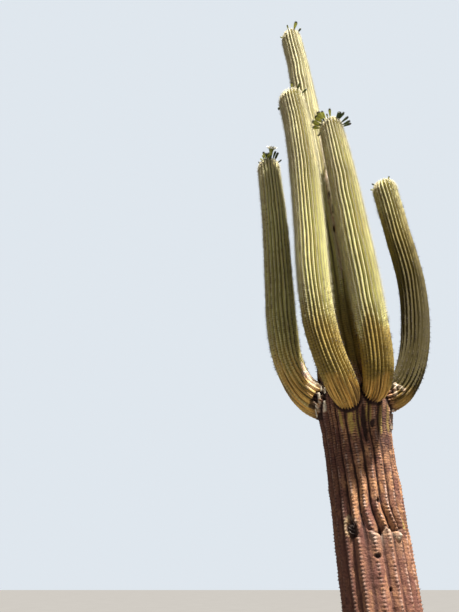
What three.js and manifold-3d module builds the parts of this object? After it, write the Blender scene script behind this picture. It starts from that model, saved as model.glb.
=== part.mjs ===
// Saguaro cactus: one fluted trunk with four upturned arms, each crowned with flower buds.
// Millimetres, +Z up. The origin is the centre of the flat cut at ground level.
import * as THREE from 'three';
import { mergeVertices } from 'three/addons/utils/BufferGeometryUtils.js';
import Module from 'manifold-3d';

const wasm = await Module();
wasm.setup();

// Clearance between neighbouring solids, and how far a cutter is grown so that its slanted
// flutes keep that clearance too
const CLEARANCE = 0.3;
const CUTTER_GROWTH = 0.45;

// Resolution of the limbs: samples kept along each route, and the spacing of the rings
const ROUTE_SAMPLES = 600;
const TRUNK_RING_STEP = 300;
const COLUMN_RING_STEP = 280;
const ELBOW_RING_STEP = 60;
const DOME_RINGS = 4;
const DOME_BLUNTNESS = 2.3;

// Stations of each limb from root to crown: x, y, z of the axis, radius over the ribs, rib depth
const TRUNK = {
  seed: 755,
  ribs: 20,
  dome: 250,
  stations: {
    foot: [0, 0, 0, 285, 9],
    ankle: [0, 0, 170, 262, 14],
    waist: [0, 0, 520, 256, 22],
    hip: [0, 0, 1250, 281, 29],
    chest: [-1, 0, 2000, 281, 30],
    fork: [-6, 0, 2680, 291, 30],
    shoulders: [-2, 0, 2880, 318, 30],
    collar: [-8, 0, 3080, 298, 30],
    throat: [-15, 0, 3330, 271, 30],
    bole: [-26, 0, 4500, 236, 28],
    middle: [-48, 0, 5700, 200, 26],
    upper: [-76, 0, 7150, 160, 24],
    neck: [-102, 0, 8000, 143, 21],
    crown: [-150, 0, 8640, 142, 20],
  },
};

const ARMS = {
  front_left: {
    seed: 1190,
    ribs: 26,
    dome: 180,
    elbowTop: 3260,
    stations: {
      root: [-72, -180, 2905, 96, 10],
      neck: [-118, -288, 2898, 104, 15],
      elbow: [-160, -395, 2920, 124, 19],
      heel: [-212, -470, 3005, 135, 21],
      shin: [-274, -500, 3190, 136, 22],
      knee: [-322, -503, 3480, 145, 23],
      waist: [-337, -502, 3900, 147, 24],
      middle: [-318, -500, 4600, 150, 24],
      upper: [-306, -500, 5500, 153, 24],
      shoulder: [-324, -500, 6100, 151, 23],
      crown: [-355, -500, 6480, 149, 22],
    },
  },
  front_right: {
    seed: 1286,
    ribs: 24,
    dome: 175,
    elbowTop: 3260,
    stations: {
      root: [60, -185, 2960, 90, 10],
      neck: [98, -288, 2948, 97, 15],
      elbow: [108, -395, 2972, 113, 18],
      heel: [114, -470, 3052, 126, 20],
      shin: [122, -500, 3220, 133, 21],
      knee: [123, -502, 3500, 140, 22],
      waist: [120, -502, 3900, 142, 23],
      middle: [105, -500, 4500, 147, 24],
      upper: [88, -500, 5300, 141, 23],
      crown: [60, -500, 5985, 128, 20],
    },
  },
  left: {
    seed: 574,
    ribs: 20,
    dome: 170,
    elbowTop: 3330,
    stations: {
      root: [-185, 0, 2950, 160, 12],
      neck: [-265, 8, 2966, 164, 15],
      elbow: [-352, 18, 3009, 156, 18],
      heel: [-444, 27, 3108, 142, 19],
      shin: [-545, 30, 3360, 138, 21],
      knee: [-584, 30, 3750, 152, 23],
      middle: [-587, 30, 4350, 147, 23],
      upper: [-590, 30, 5100, 140, 22],
      crown: [-619, 30, 5905, 133, 20],
    },
  },
  right: {
    seed: 670,
    ribs: 22,
    dome: 165,
    elbowTop: 3420,
    stations: {
      root: [185, -75, 2960, 118, 11],
      neck: [284, -95, 2964, 122, 14],
      elbow: [377, -110, 3010, 122, 17],
      heel: [480, -118, 3132, 121, 18],
      shin: [590, -120, 3370, 126, 20],
      knee: [673, -120, 3690, 130, 21],
      middle: [728, -120, 4150, 128, 21],
      upper: [706, -120, 4850, 130, 21],
      crown: [684, -120, 5400, 134, 21],
    },
  },
};

// Flower buds: clubs that are sunk into the domes. Each cluster has a count, a sector of bearings
// in degrees round the limb, the least and greatest tilt from the tip, the least and greatest
// length of a bud, and its half thickness as a share of that length. The foot is a share of the
// thickness, the shoulder a share of the length, and the stray a share of the room of each bud.
const BUD_SUNK = 30;
const BUD_SIDES = 6;
const BUD_FOOT = 0.6;
const BUD_SHOULDER = 0.76;
const BUD_STRAY = [0.2, 0.8];
const BUDS = {
  trunk: [
    { count: 1, bearing: [-70, -62], tilt: [46, 50], length: [100, 110], thick: 0.20 },
    { count: 1, bearing: [-42, -34], tilt: [58, 62], length: [70, 80], thick: 0.17 },
    { count: 1, bearing: [242, 250], tilt: [43, 47], length: [60, 70], thick: 0.15 },
    { count: 1, bearing: [190, 198], tilt: [76, 80], length: [40, 50], thick: 0.16 },
    { count: 4, bearing: [0, 170], tilt: [20, 50], length: [60, 90], thick: 0.14 },
  ],
  front_left: [
    { count: 1, bearing: [-94, -86], tilt: [43, 47], length: [60, 70], thick: 0.14 },
    { count: 1, bearing: [-70, -62], tilt: [64, 68], length: [75, 85], thick: 0.14 },
    { count: 1, bearing: [-42, -34], tilt: [72, 76], length: [65, 75], thick: 0.13 },
    { count: 3, bearing: [146, 160], tilt: [70, 90], length: [28, 38], thick: 0.20 },
    { count: 4, bearing: [10, 140], tilt: [20, 50], length: [60, 90], thick: 0.14 },
  ],
  front_right: [
    { count: 7, bearing: [158, 232], tilt: [42, 62], length: [85, 125], thick: 0.17 },
    { count: 1, bearing: [150, 158], tilt: [84, 88], length: [35, 45], thick: 0.20 },
    { count: 1, bearing: [238, 246], tilt: [46, 50], length: [35, 45], thick: 0.18 },
    { count: 1, bearing: [258, 266], tilt: [46, 50], length: [80, 90], thick: 0.14 },
    { count: 5, bearing: [-68, -46], tilt: [56, 70], length: [60, 105], thick: 0.13 },
    { count: 3, bearing: [-42, -14], tilt: [68, 86], length: [80, 110], thick: 0.12 },
    { count: 4, bearing: [20, 140], tilt: [25, 60], length: [70, 100], thick: 0.14 },
  ],
  left: [
    { count: 5, bearing: [-62, -36], tilt: [40, 56], length: [60, 105], thick: 0.12 },
    { count: 1, bearing: [-34, -26], tilt: [66, 70], length: [60, 70], thick: 0.13 },
    { count: 7, bearing: [232, 276], tilt: [26, 56], length: [50, 90], thick: 0.14 },
    { count: 3, bearing: [165, 225], tilt: [20, 45], length: [30, 60], thick: 0.16 },
    { count: 5, bearing: [0, 150], tilt: [20, 45], length: [60, 95], thick: 0.14 },
  ],
  right: [
    { count: 1, bearing: [178, 186], tilt: [46, 50], length: [35, 45], thick: 0.18 },
    { count: 1, bearing: [146, 154], tilt: [50, 54], length: [40, 50], thick: 0.17 },
    { count: 1, bearing: [-74, -66], tilt: [43, 47], length: [30, 40], thick: 0.20 },
    { count: 1, bearing: [-82, -74], tilt: [8, 12], length: [30, 40], thick: 0.18 },
    { count: 3, bearing: [10, 130], tilt: [20, 50], length: [50, 80], thick: 0.15 },
  ],
};

// The one open flower, on the left arm
const FLOWER = { limb: 'left', bearing: 282, tilt: 42, length: 125, mouth: 38, throat: 14 };
const FLOWER_THROAT_TOP = 0.7;
const FLOWER_MOUTH_LOW = 0.92;

// Colours of the plant
const BARK = { color: 0x6f5a4a, roughness: 0.92, metalness: 0 };
const SKIN = { color: 0x8f9068, roughness: 0.82, metalness: 0 };

// A repeatable stream of numbers from 0 to 1, by a linear congruential rule
const RANDOM_STEP = 1664525;
const RANDOM_SHIFT = 1013904223;
const RANDOM_SPAN = 2 ** 32;
function seededNumbers(seed) {
  let state = seed;
  return () => {
    state = (state * RANDOM_STEP + RANDOM_SHIFT) % RANDOM_SPAN;
    return state / RANDOM_SPAN;
  };
}

// The smooth axis of a limb through its stations, with its radius, its rib depth and steady frames
function makeRoute(stations) {
  const list = Object.values(stations);
  const axis = new THREE.CatmullRomCurve3(list.map(([x, y, z]) => new THREE.Vector3(x, y, z)));
  axis.arcLengthDivisions = ROUTE_SAMPLES;
  const girth = new THREE.SplineCurve(list.map(([, , , r, depth]) => new THREE.Vector2(r, depth)));
  return { axis, girth, frames: axis.computeFrenetFrames(ROUTE_SAMPLES), length: axis.getLength() };
}

// One fluted ring at a sample of the route, shrunk by scale and lifted along the axis
function flutedRing(route, ribs, sample, { growth = 0, scale = 1, lift = 0 } = {}) {
  const t = route.axis.getUtoTmapping(sample / ROUTE_SAMPLES);
  const size = route.girth.getPoint(t);
  const { tangents, normals, binormals } = route.frames;
  const centre = route.axis.getPoint(t).addScaledVector(tangents[sample], lift);
  const points = [];
  for (let i = 0; i < 2 * ribs; i++) {
    const angle = (Math.PI * i) / ribs;
    const valley = i % 2;
    const reach = (size.x - valley * size.y) * scale + growth;
    points.push(
      centre
        .clone()
        .addScaledVector(normals[sample], reach * Math.cos(angle))
        .addScaledVector(binormals[sample], reach * Math.sin(angle)),
    );
  }
  return { centre, points };
}

// A closed body through the rings: flat at its foot, and flat or pointed at its top
function loft(rings, apex) {
  const positions = [];
  const triangles = [];
  const put = (point) => positions.push(point.x, point.y, point.z) / 3 - 1;
  const count = rings[0].points.length;
  const foot = put(rings[0].centre);
  const starts = rings.map((ring) => ring.points.map(put)[0]);
  const top = put(apex ?? rings.at(-1).centre);
  for (let i = 0; i < count; i++) {
    const next = (i + 1) % count;
    triangles.push(foot, starts[0] + next, starts[0] + i);
    for (let k = 0; k + 1 < rings.length; k++) {
      const [low, high] = [starts[k], starts[k + 1]];
      triangles.push(low + i, low + next, high + next);
      triangles.push(low + i, high + next, high + i);
    }
    triangles.push(top, starts.at(-1) + i, starts.at(-1) + next);
  }
  const geometry = new THREE.BufferGeometry();
  geometry.setAttribute('position', new THREE.Float32BufferAttribute(positions, 3));
  geometry.setIndex(triangles);
  return geometry;
}

// The stretch of a limb between two samples, closed by a fluted dome where it has one
function limbBody(route, ribs, from, to, step, { dome = 0, growth = 0 } = {}) {
  const steps = Math.max(1, Math.round((((to - from) / ROUTE_SAMPLES) * route.length) / step));
  const rings = [];
  for (let k = 0; k <= steps; k++) {
    rings.push(flutedRing(route, ribs, Math.round(from + ((to - from) * k) / steps), { growth }));
  }
  if (!dome) return loft(rings);
  for (let k = 1; k <= DOME_RINGS; k++) {
    const rise = Math.sin((k / (DOME_RINGS + 1)) * (Math.PI / 2));
    const scale = (1 - rise ** DOME_BLUNTNESS) ** (1 / DOME_BLUNTNESS);
    rings.push(flutedRing(route, ribs, to, { growth, scale, lift: dome * rise }));
  }
  const apex = flutedRing(route, ribs, to, { lift: dome }).centre;
  return loft(rings, apex);
}

// A three.js geometry as a solid: shared corners merged, and flat slivers at poles dropped
function toSolid(geometry) {
  geometry.deleteAttribute('normal');
  geometry.deleteAttribute('uv');
  const merged = mergeVertices(geometry, 1e-3);
  const index = merged.index.array;
  const kept = [];
  for (let i = 0; i < index.length; i += 3) {
    const [a, b, c] = [index[i], index[i + 1], index[i + 2]];
    if (a !== b && b !== c && c !== a) kept.push(a, b, c);
  }
  const mesh = new wasm.Mesh({
    numProp: 3,
    vertProperties: merged.attributes.position.array,
    triVerts: new Uint32Array(kept),
  });
  return new wasm.Manifold(mesh);
}

function toGeometry(solid) {
  const mesh = solid.getMesh();
  const geometry = new THREE.BufferGeometry();
  geometry.setAttribute('position', new THREE.Float32BufferAttribute(mesh.vertProperties, 3));
  geometry.setIndex(new THREE.Uint32BufferAttribute(mesh.triVerts, 1));
  return geometry;
}

// A round body along +Y, stood on the dome of a limb at a bearing and a tilt from its tip
function standOnDome(profile, sides, limb, bearing, tilt) {
  const { route, dome } = limb;
  const crown = route.frames.tangents[ROUTE_SAMPLES];
  const side = new THREE.Vector3(Math.cos(bearing), Math.sin(bearing), 0);
  side.addScaledVector(crown, -side.dot(crown)).normalize();
  const radius = route.girth.getPoint(1).x;
  const rise = Math.cos(tilt) ** (2 / DOME_BLUNTNESS);
  const run = Math.sin(tilt) ** (2 / DOME_BLUNTNESS);
  const heading = crown.clone().multiplyScalar(Math.cos(tilt)).addScaledVector(side, Math.sin(tilt));
  const place = route.axis
    .getPoint(1)
    .addScaledVector(crown, rise * dome)
    .addScaledVector(side, run * radius)
    .addScaledVector(heading, -BUD_SUNK);
  const turn = new THREE.Quaternion().setFromUnitVectors(new THREE.Vector3(0, 1, 0), heading);
  const geometry = new THREE.LatheGeometry(profile, sides);
  geometry.applyQuaternion(turn);
  geometry.translate(place.x, place.y, place.z);
  return toSolid(geometry);
}

function budProfile(length, thick) {
  return [
    [0, 0],
    [length * thick * BUD_FOOT, 0],
    [length * thick, length * BUD_SHOULDER + BUD_SUNK],
    [0, length + BUD_SUNK],
  ].map(([r, h]) => new THREE.Vector2(r, h));
}

function flowerProfile({ length, mouth, throat }) {
  return [
    [0, 0],
    [throat, 0],
    [throat, length * FLOWER_THROAT_TOP + BUD_SUNK],
    [mouth, length * FLOWER_MOUTH_LOW + BUD_SUNK],
    [mouth, length + BUD_SUNK],
    [0, length * FLOWER_MOUTH_LOW + BUD_SUNK],
  ].map(([r, h]) => new THREE.Vector2(r, h));
}

// The crown of one limb with its buds, and the flower where the limb bears it, fused on
function withBuds(solid, name, limb) {
  const random = seededNumbers(limb.seed);
  const between = ([low, high]) => low + (high - low) * random();
  const radians = THREE.MathUtils.degToRad;
  let crowned = solid;
  for (const { count, bearing, tilt, length, thick } of BUDS[name]) {
    for (let i = 0; i < count; i++) {
      const sector = (bearing[1] - bearing[0]) / count;
      const turn = radians(bearing[0] + sector * (i + between(BUD_STRAY)));
      const lean = radians(between(tilt));
      const profile = budProfile(between(length), thick);
      crowned = crowned.add(standOnDome(profile, BUD_SIDES, limb, turn, lean));
    }
  }
  if (FLOWER.limb === name) {
    const [turn, lean] = [radians(FLOWER.bearing), radians(FLOWER.tilt)];
    crowned = crowned.add(standOnDome(flowerProfile(FLOWER), 2 * BUD_SIDES, limb, turn, lean));
  }
  return crowned;
}

function addNode(parent, name, solid, look) {
  const mesh = new THREE.Mesh(toGeometry(solid), new THREE.MeshStandardMaterial(look));
  mesh.name = name;
  parent.add(mesh);
}

const cactus = new THREE.Group();
cactus.name = 'saguaro_cactus';

const trunkLimb = { ...TRUNK, route: makeRoute(TRUNK.stations) };
const trunkSpan = [trunkLimb.route, TRUNK.ribs, 0, ROUTE_SAMPLES, TRUNK_RING_STEP];
const trunkBody = toSolid(limbBody(...trunkSpan, { dome: TRUNK.dome }));
const trunkCutter = toSolid(limbBody(...trunkSpan, { dome: TRUNK.dome, growth: CUTTER_GROWTH }));
addNode(cactus, 'trunk', withBuds(trunkBody, 'trunk', trunkLimb), BARK);

// Each arm is parted at the top of its bend: an elbow cut to the trunk, and an upright column
for (const [name, arm] of Object.entries(ARMS)) {
  const route = makeRoute(arm.stations);
  const parting = route.axis.getSpacedPoints(ROUTE_SAMPLES).findIndex(({ z }) => z > arm.elbowTop);
  const elbow = toSolid(limbBody(route, arm.ribs, 0, parting, ELBOW_RING_STEP)).subtract(trunkCutter);
  addNode(cactus, `arm_${name}_elbow`, elbow, SKIN);

  const lift = route.frames.tangents[parting].clone().multiplyScalar(CLEARANCE);
  const column = limbBody(route, arm.ribs, parting, ROUTE_SAMPLES, COLUMN_RING_STEP, arm);
  column.translate(lift.x, lift.y, lift.z);
  addNode(cactus, `arm_${name}_column`, withBuds(toSolid(column), name, { ...arm, route }), SKIN);
}

export default cactus;
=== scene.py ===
"""Saguaro cactus: a fluted trunk with corky bark, four upturned arms, spines, flower buds and a flower."""
import math

import bpy
import numpy as np
from bpy.props import FloatProperty, FloatVectorProperty, IntProperty, PointerProperty
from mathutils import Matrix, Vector


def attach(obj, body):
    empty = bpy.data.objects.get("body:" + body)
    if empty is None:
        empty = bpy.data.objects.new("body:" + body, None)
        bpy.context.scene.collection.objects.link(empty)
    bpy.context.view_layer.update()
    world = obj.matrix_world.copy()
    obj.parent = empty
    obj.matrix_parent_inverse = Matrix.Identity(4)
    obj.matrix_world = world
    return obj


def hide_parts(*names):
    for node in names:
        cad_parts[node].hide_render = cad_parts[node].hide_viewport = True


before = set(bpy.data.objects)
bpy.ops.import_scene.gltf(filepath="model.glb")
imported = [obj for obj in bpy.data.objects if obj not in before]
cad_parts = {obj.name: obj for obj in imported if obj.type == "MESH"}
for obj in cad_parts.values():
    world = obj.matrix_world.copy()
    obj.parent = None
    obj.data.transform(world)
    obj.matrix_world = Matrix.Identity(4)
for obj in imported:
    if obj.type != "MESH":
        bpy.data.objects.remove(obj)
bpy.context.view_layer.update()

bl_info = {
    "name": "Saguaro cactus",
    "version": (1, 0, 0),
    "blender": (4, 5, 0),
    "location": "View3D > Sidebar > Saguaro",
    "description": "Dresses the solids of a saguaro with ribbed skin, corky bark, spines, buds and a flower",
    "category": "Object",
}

# The limbs, in metres: each station is x, y, z of the axis, the radius over the ribs and the rib depth;
# aged gives the heights where the skin begins to darken and where it is darkest, and how dark it gets;
# dried gives the heights between which the skin under the bend of an arm turns dry
LIMBS = {
    "trunk": {
        "seed": 755,
        "ribs": 20,
        "dome": 0.250,
        # The trunk between the arms is darkened partly as painted shade of the arms
        "aged": (4.60, 3.40, 1.2),
        "stations": [
            (0, 0, 0, 0.285, 0.009),
            (0, 0, 0.170, 0.262, 0.014),
            (0, 0, 0.520, 0.256, 0.022),
            (0, 0, 1.250, 0.281, 0.029),
            (-0.001, 0, 2.000, 0.281, 0.030),
            (-0.006, 0, 2.680, 0.291, 0.030),
            (-0.002, 0, 2.880, 0.318, 0.030),
            (-0.008, 0, 3.080, 0.298, 0.030),
            (-0.015, 0, 3.330, 0.271, 0.030),
            (-0.026, 0, 4.500, 0.236, 0.028),
            (-0.048, 0, 5.700, 0.200, 0.026),
            (-0.076, 0, 7.150, 0.160, 0.024),
            (-0.102, 0, 8.000, 0.143, 0.021),
            (-0.150, 0, 8.640, 0.142, 0.020),
        ],
    },
    "front_left": {
        "seed": 1190,
        "ribs": 26,
        "dome": 0.180,
        "elbow_top": 3.26,
        "aged": (4.00, 3.32, 0.95),
        "dried": (3.04, 2.88),
        "stations": [
            (-0.072, -0.180, 2.905, 0.096, 0.010),
            (-0.118, -0.288, 2.898, 0.104, 0.015),
            (-0.160, -0.395, 2.920, 0.124, 0.019),
            (-0.212, -0.470, 3.005, 0.135, 0.021),
            (-0.274, -0.500, 3.190, 0.136, 0.022),
            (-0.322, -0.503, 3.480, 0.145, 0.023),
            (-0.337, -0.502, 3.900, 0.147, 0.024),
            (-0.318, -0.500, 4.600, 0.150, 0.024),
            (-0.306, -0.500, 5.500, 0.153, 0.024),
            (-0.324, -0.500, 6.100, 0.151, 0.023),
            (-0.355, -0.500, 6.480, 0.149, 0.022),
        ],
    },
    "front_right": {
        "seed": 1286,
        "ribs": 24,
        "dome": 0.175,
        "elbow_top": 3.26,
        # Its low part is darkened partly as painted shade
        "aged": (3.62, 3.26, 1.25),
        "dried": (3.02, 2.89),
        "stations": [
            (0.060, -0.185, 2.960, 0.090, 0.010),
            (0.098, -0.288, 2.948, 0.097, 0.015),
            (0.108, -0.395, 2.972, 0.113, 0.018),
            (0.114, -0.470, 3.052, 0.126, 0.020),
            (0.122, -0.500, 3.220, 0.133, 0.021),
            (0.123, -0.502, 3.500, 0.140, 0.022),
            (0.120, -0.502, 3.900, 0.142, 0.023),
            (0.105, -0.500, 4.500, 0.147, 0.024),
            (0.088, -0.500, 5.300, 0.141, 0.023),
            (0.060, -0.500, 5.985, 0.128, 0.020),
        ],
    },
    "left": {
        "seed": 574,
        "ribs": 20,
        "dome": 0.170,
        "elbow_top": 3.33,
        "aged": (5.50, 3.60, 0.45),
        "dried": (3.60, 2.95),
        "stations": [
            (-0.185, 0, 2.950, 0.160, 0.012),
            (-0.265, 0.008, 2.966, 0.164, 0.015),
            (-0.352, 0.018, 3.009, 0.156, 0.018),
            (-0.444, 0.027, 3.108, 0.142, 0.019),
            (-0.545, 0.030, 3.360, 0.138, 0.021),
            (-0.584, 0.030, 3.750, 0.152, 0.023),
            (-0.587, 0.030, 4.350, 0.147, 0.023),
            (-0.590, 0.030, 5.100, 0.140, 0.022),
            (-0.619, 0.030, 5.905, 0.133, 0.020),
        ],
    },
    "right": {
        "seed": 670,
        "ribs": 22,
        "dome": 0.165,
        "elbow_top": 3.42,
        # Darkened nearly to black below: painted shade on the lower half, and older skin
        "aged": (6.00, 3.60, 2.0),
        "dried": (3.05, 2.80),
        "stations": [
            (0.185, -0.075, 2.960, 0.118, 0.011),
            (0.284, -0.095, 2.964, 0.122, 0.014),
            (0.377, -0.110, 3.010, 0.122, 0.017),
            (0.480, -0.118, 3.132, 0.121, 0.018),
            (0.590, -0.120, 3.370, 0.126, 0.020),
            (0.673, -0.120, 3.690, 0.130, 0.021),
            (0.728, -0.120, 4.150, 0.128, 0.021),
            (0.706, -0.120, 4.850, 0.130, 0.021),
            (0.684, -0.120, 5.400, 0.134, 0.021),
        ],
    },
}
ARM_NAMES = ["front_left", "front_right", "left", "right"]

# Form of the limbs, as in the solids
ROUTE_SAMPLES = 600
DOME_SAMPLES = 400
DOME_BLUNTNESS = 2.3
RIB_ROUNDNESS = 1.4

# The grooves of the arms' skins are deeper than those of the solids, and all are a little uneven in
# depth, in their run round the limb and in the limb's girth; in that noise a round trip is the length
# along a limb that counts as one
ARM_RIB_DEPTH = 1.25
DEPTH_VARIATION = 0.18
RIB_WANDER = 0.16
GIRTH_SWELL = 0.010
ROUND_TRIP = 0.55

# Resolution of the skins, the heights where the trunk's are parted, and the width of a merged seam
BARK_POINTS_PER_RIB = 14
ARM_POINTS_PER_RIB = 10
SKIN_POINTS_PER_RIB = 8
BARK_MIDDLE = 1.2
BARK_TOP = 3.2
SEAM_WIDTH = 0.0002

# Marks on the trunk: bearing in degrees from +X towards +Y, height, half width, half height, how far
# the surface is pushed out, and how pale, green and dark it is there
TRUNK_MARKS = {
    # The dark of the groove under the arms, the holes, the ledge notch and the pits is painted shade in
    # those hollows; the dark of the oval and spiny scars is their own colour
    "groove_under_the_arms": (-91, 2.70, 0.022, 0.15, -0.030, 0, 0, 1.0),
    "oval_scar": (-77, 2.69, 0.020, 0.034, -0.012, 0, 0, 1.0),
    "green_strip_1": (-127, 2.73, 0.012, 0.10, 0.002, 0, 0.8, 0),
    "green_strip_2": (-112, 2.73, 0.022, 0.14, 0.002, 0, 1.0, 0),
    "green_strip_3": (-101, 2.72, 0.018, 0.14, 0.002, 0, 1.0, 0),
    "green_strip_4": (-82, 2.77, 0.022, 0.12, 0.002, 0, 1.0, 0),
    "green_strip_5": (-62, 2.74, 0.018, 0.14, 0.002, 0, 0.9, 0),
    "green_strip_6": (-41, 2.75, 0.018, 0.12, 0.002, 0, 0.8, 0),
    "scar_rim": (-137, 1.935, 0.058, 0.070, 0.001, 0.25, 0.35, 0),
    "spiny_scar": (-134, 1.922, 0.045, 0.062, -0.022, -0.5, -0.4, 0.9),
    # A painted shadow of the right arm on the bark below it
    "shadow_under_right_arm": (-52, 2.66, 0.110, 0.26, 0, 0, 0, 0.45),
    "upper_hole": (-87, 2.105, 0.014, 0.018, -0.020, 0, 0, 1.0),
    "lower_hole": (-100, 1.735, 0.022, 0.016, -0.020, 0, 0, 1.0),
    "low_hole": (-87, 1.53, 0.012, 0.014, -0.016, 0, 0, 1.0),
    "green_by_the_ledge": (-45, 1.95, 0.010, 0.045, 0.002, 0, 0.8, 0),
    "ledge_notch": (-90, 1.895, 0.012, 0.026, -0.016, 0, 0, 1.0),
    "pale_knob": (-62, 1.865, 0.016, 0.024, 0.012, 0.4, 0, 0),
    "flap_under_right_arm": (-24, 2.74, 0.035, 0.08, 0.016, 0.25, 0, 0),
    # A pale strip down the trunk between the front arms: partly scarred bark and partly a painted patch of
    # sunlight
    "scarred_rib_painted_lit_high": (-83, 5.95, 0.024, 0.42, 0.004, 0.5, 0, 0),
    "scarred_rib_painted_lit_middle": (-85, 5.25, 0.030, 0.45, 0.005, 0.7, 0, 0),
    "scarred_rib_painted_lit_low": (-87, 4.55, 0.028, 0.40, 0.004, 0.6, 0, 0),
    "pit_high": (-86, 5.30, 0.014, 0.05, -0.010, 0, 0, 1.0),
    "pit_middle": (-82, 5.08, 0.012, 0.07, -0.010, 0, 0, 1.0),
    "pit_low": (-88, 4.80, 0.012, 0.05, -0.010, 0, 0, 1.0),
}

# Marks where the side arms join the trunk, on whichever skin is there: both ends of a line along the
# mark, its half width, how far the surface is pushed out, and how pale, green and dark it is there
JOINT_MARKS = {
    "left_lens_plate": ((-0.320, -0.137, 2.995), (-0.317, -0.114, 2.900), 0.013, 0.010, 0.8, 0, 0),
    "left_bright_plate": ((-0.277, -0.146, 2.905), (-0.276, -0.105, 2.815), 0.017, 0.012, 1.0, 0, 0),
    "left_tan_plate": ((-0.356, -0.106, 2.900), (-0.326, -0.078, 2.860), 0.022, 0.006, 0.35, 0, 0),
    "left_top_plate": ((-0.300, -0.100, 3.090), (-0.262, -0.142, 3.020), 0.022, 0.008, 0.6, 0, 0),
    # The dark of the folds is painted shade where the left arm meets the trunk
    "left_fold_high": ((-0.318, -0.130, 3.000), (-0.350, -0.127, 2.955), 0.030, -0.012, 0, 0, 0.9),
    "left_fold_low": ((-0.350, -0.127, 2.955), (-0.385, -0.085, 2.890), 0.034, -0.012, 0, 0, 0.9),
    "left_saddle_high": ((-0.440, -0.050, 3.300), (-0.408, -0.065, 3.190), 0.032, 0, 0.8, 0, 0),
    "left_saddle_low": ((-0.408, -0.065, 3.190), (-0.345, -0.080, 3.115), 0.045, 0.004, 0.8, 0, 0),
    "left_saddle_cork": ((-0.390, -0.110, 3.070), (-0.335, -0.112, 3.055), 0.036, 0.003, 0.4, 0, 0),
    "right_plate_high": ((0.335, -0.205, 3.046), (0.395, -0.214, 2.995), 0.020, 0.008, 0.4, 0, 0),
    "right_plate_side": ((0.335, -0.200, 3.030), (0.318, -0.211, 2.960), 0.019, 0.006, 0.4, 0, 0),
    "right_strip": ((0.376, -0.212, 2.962), (0.400, -0.205, 2.985), 0.009, 0.006, 0.9, 0, 0),
    # A painted shadow under the right elbow
    "right_fold": ((0.300, -0.210, 2.990), (0.290, -0.130, 2.885), 0.017, -0.016, 0, 0, 1.0),
    "right_edge": ((0.287, -0.120, 2.862), (0.318, -0.095, 2.848), 0.009, 0.008, 1.0, 0, 0),
}

# Loose plates of old bark beside the side arms: foot, tip, width and the way they face
PLATES = {
    "left_lens": ((-0.317, -0.114, 2.895), (-0.322, -0.140, 3.000), 0.028, (-0.3, -1.0, 0.3)),
    "left_bright": ((-0.276, -0.112, 2.805), (-0.280, -0.156, 2.920), 0.044, (-0.2, -1.0, 0.4)),
    "left_tan": ((-0.330, -0.080, 2.850), (-0.350, -0.108, 2.915), 0.034, (-0.5, -1.0, 0.2)),
    "left_strip": ((-0.345, -0.070, 2.800), (-0.352, -0.098, 2.860), 0.012, (-0.5, -1.0, 0)),
    "left_tooth_high": ((-0.300, -0.150, 3.010), (-0.300, -0.155, 3.060), 0.018, (-0.2, -1.0, 0.4)),
    "left_tooth_low": ((-0.272, -0.160, 2.980), (-0.272, -0.168, 3.035), 0.018, (-0.2, -1.0, 0.4)),
    "right_high": ((0.395, -0.214, 2.992), (0.335, -0.212, 3.046), 0.036, (0.1, -1.0, 0.6)),
    "right_side": ((0.318, -0.211, 2.958), (0.335, -0.208, 3.030), 0.030, (-0.1, -1.0, 0.4)),
    "right_strip": ((0.376, -0.214, 2.958), (0.402, -0.208, 2.988), 0.014, (0.1, -1.0, 0.2)),
    "right_edge": ((0.284, -0.130, 2.850), (0.322, -0.110, 2.852), 0.014, (0, -1.0, 0.3)),
}
PLATE_THICKNESS = 0.007
PLATE_ROUGHNESS = 0.004

# Where the arms all but touch the trunk, shade is painted dark: the heights between which that can be,
# the dark width, and which of the other limb's centres are tried
CREVICE_LOW = 2.65
CREVICE_HIGH = 3.40
CREVICE_WIDTH = 0.026
CREVICE_LIMB_LOW = 2.6
CREVICE_LIMB_HIGH = 3.6
CREVICE_STRIDE = 4

# Where the skin turns to cork: heights of the trunk, and distances from the root of an arm
TRUNK_CORK = (3.35, 2.95)
ROOT_CORK = (0.18, 0.07)

# The line where the bark of the front of the trunk has parted: bearing and height
LEDGE_LINE = [
    (-116, 1.930), (-107, 1.897), (-95, 1.885), (-90, 1.866), (-82, 1.921), (-76, 1.915),
    (-66, 1.890), (-58, 1.892), (-43, 1.930),
]
# Valleys that are shallow below that line, counted in ribs from the middle of the back: share of
# depth, softness
SHALLOW_VALLEYS = {
    -1.5: (0.42, 0.010),
    -0.5: (0.42, 0.010),
    0.5: (0.50, 0.010),
    1.5: (0.60, 0.020),
    4.5: (0.35, 0.150),
    8.5: (0.40, 0.200),
}
# Ribs that part into two below the arms, counted from the middle of the back, the share of depth that
# they keep, and the heights between which they begin to part
PARTED_RIBS = (-8, -6, -3, -1, 0, 2, 4, 7)
PARTED_DEPTH = 0.6
PARTED_FOOT = (2.30, 2.56)
# How much shallower all grooves are in the wide zone under the arms, and the heights between which
# that zone, and the parting, begins and ends
FORK_FLATNESS = 0.45
FORK_FOOT = (2.28, 2.52)
FORK_TOP = (3.30, 3.05)
# How far the front ribs swing to the right below the ledge, in degrees, and the bearings and the
# heights between which they do
SWING = 14.0
SWING_LEFT = (-140, -85)
SWING_RIGHT = (130, -50)
SWING_HEIGHTS = (2.12, 1.84)
# Height of the knobs, depth of the pits and of the crack, and paleness of the knobs along the ledge
LEDGE_KNOB = 0.012
LEDGE_PIT = 0.016
LEDGE_CRACK = 0.008
LEDGE_PALE = 0.36

# Bearing of the sunniest side of the limbs, counted clockwise from +X, and the angles away from it
# between which the sun is lost; where it is lost, shade is painted into the skin and the bark
SUNNY_BEARING = 58
SUNLESS_FROM = (62, 92)

# Depth of the dips between the areoles of fresh skin, height of its lumps, and depth to which the
# grooves of the bark have split above the ledge
AREOLE_DIP = 0.0030
SKIN_LUMP = 0.0015
BARK_SPLIT = 0.010
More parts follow.
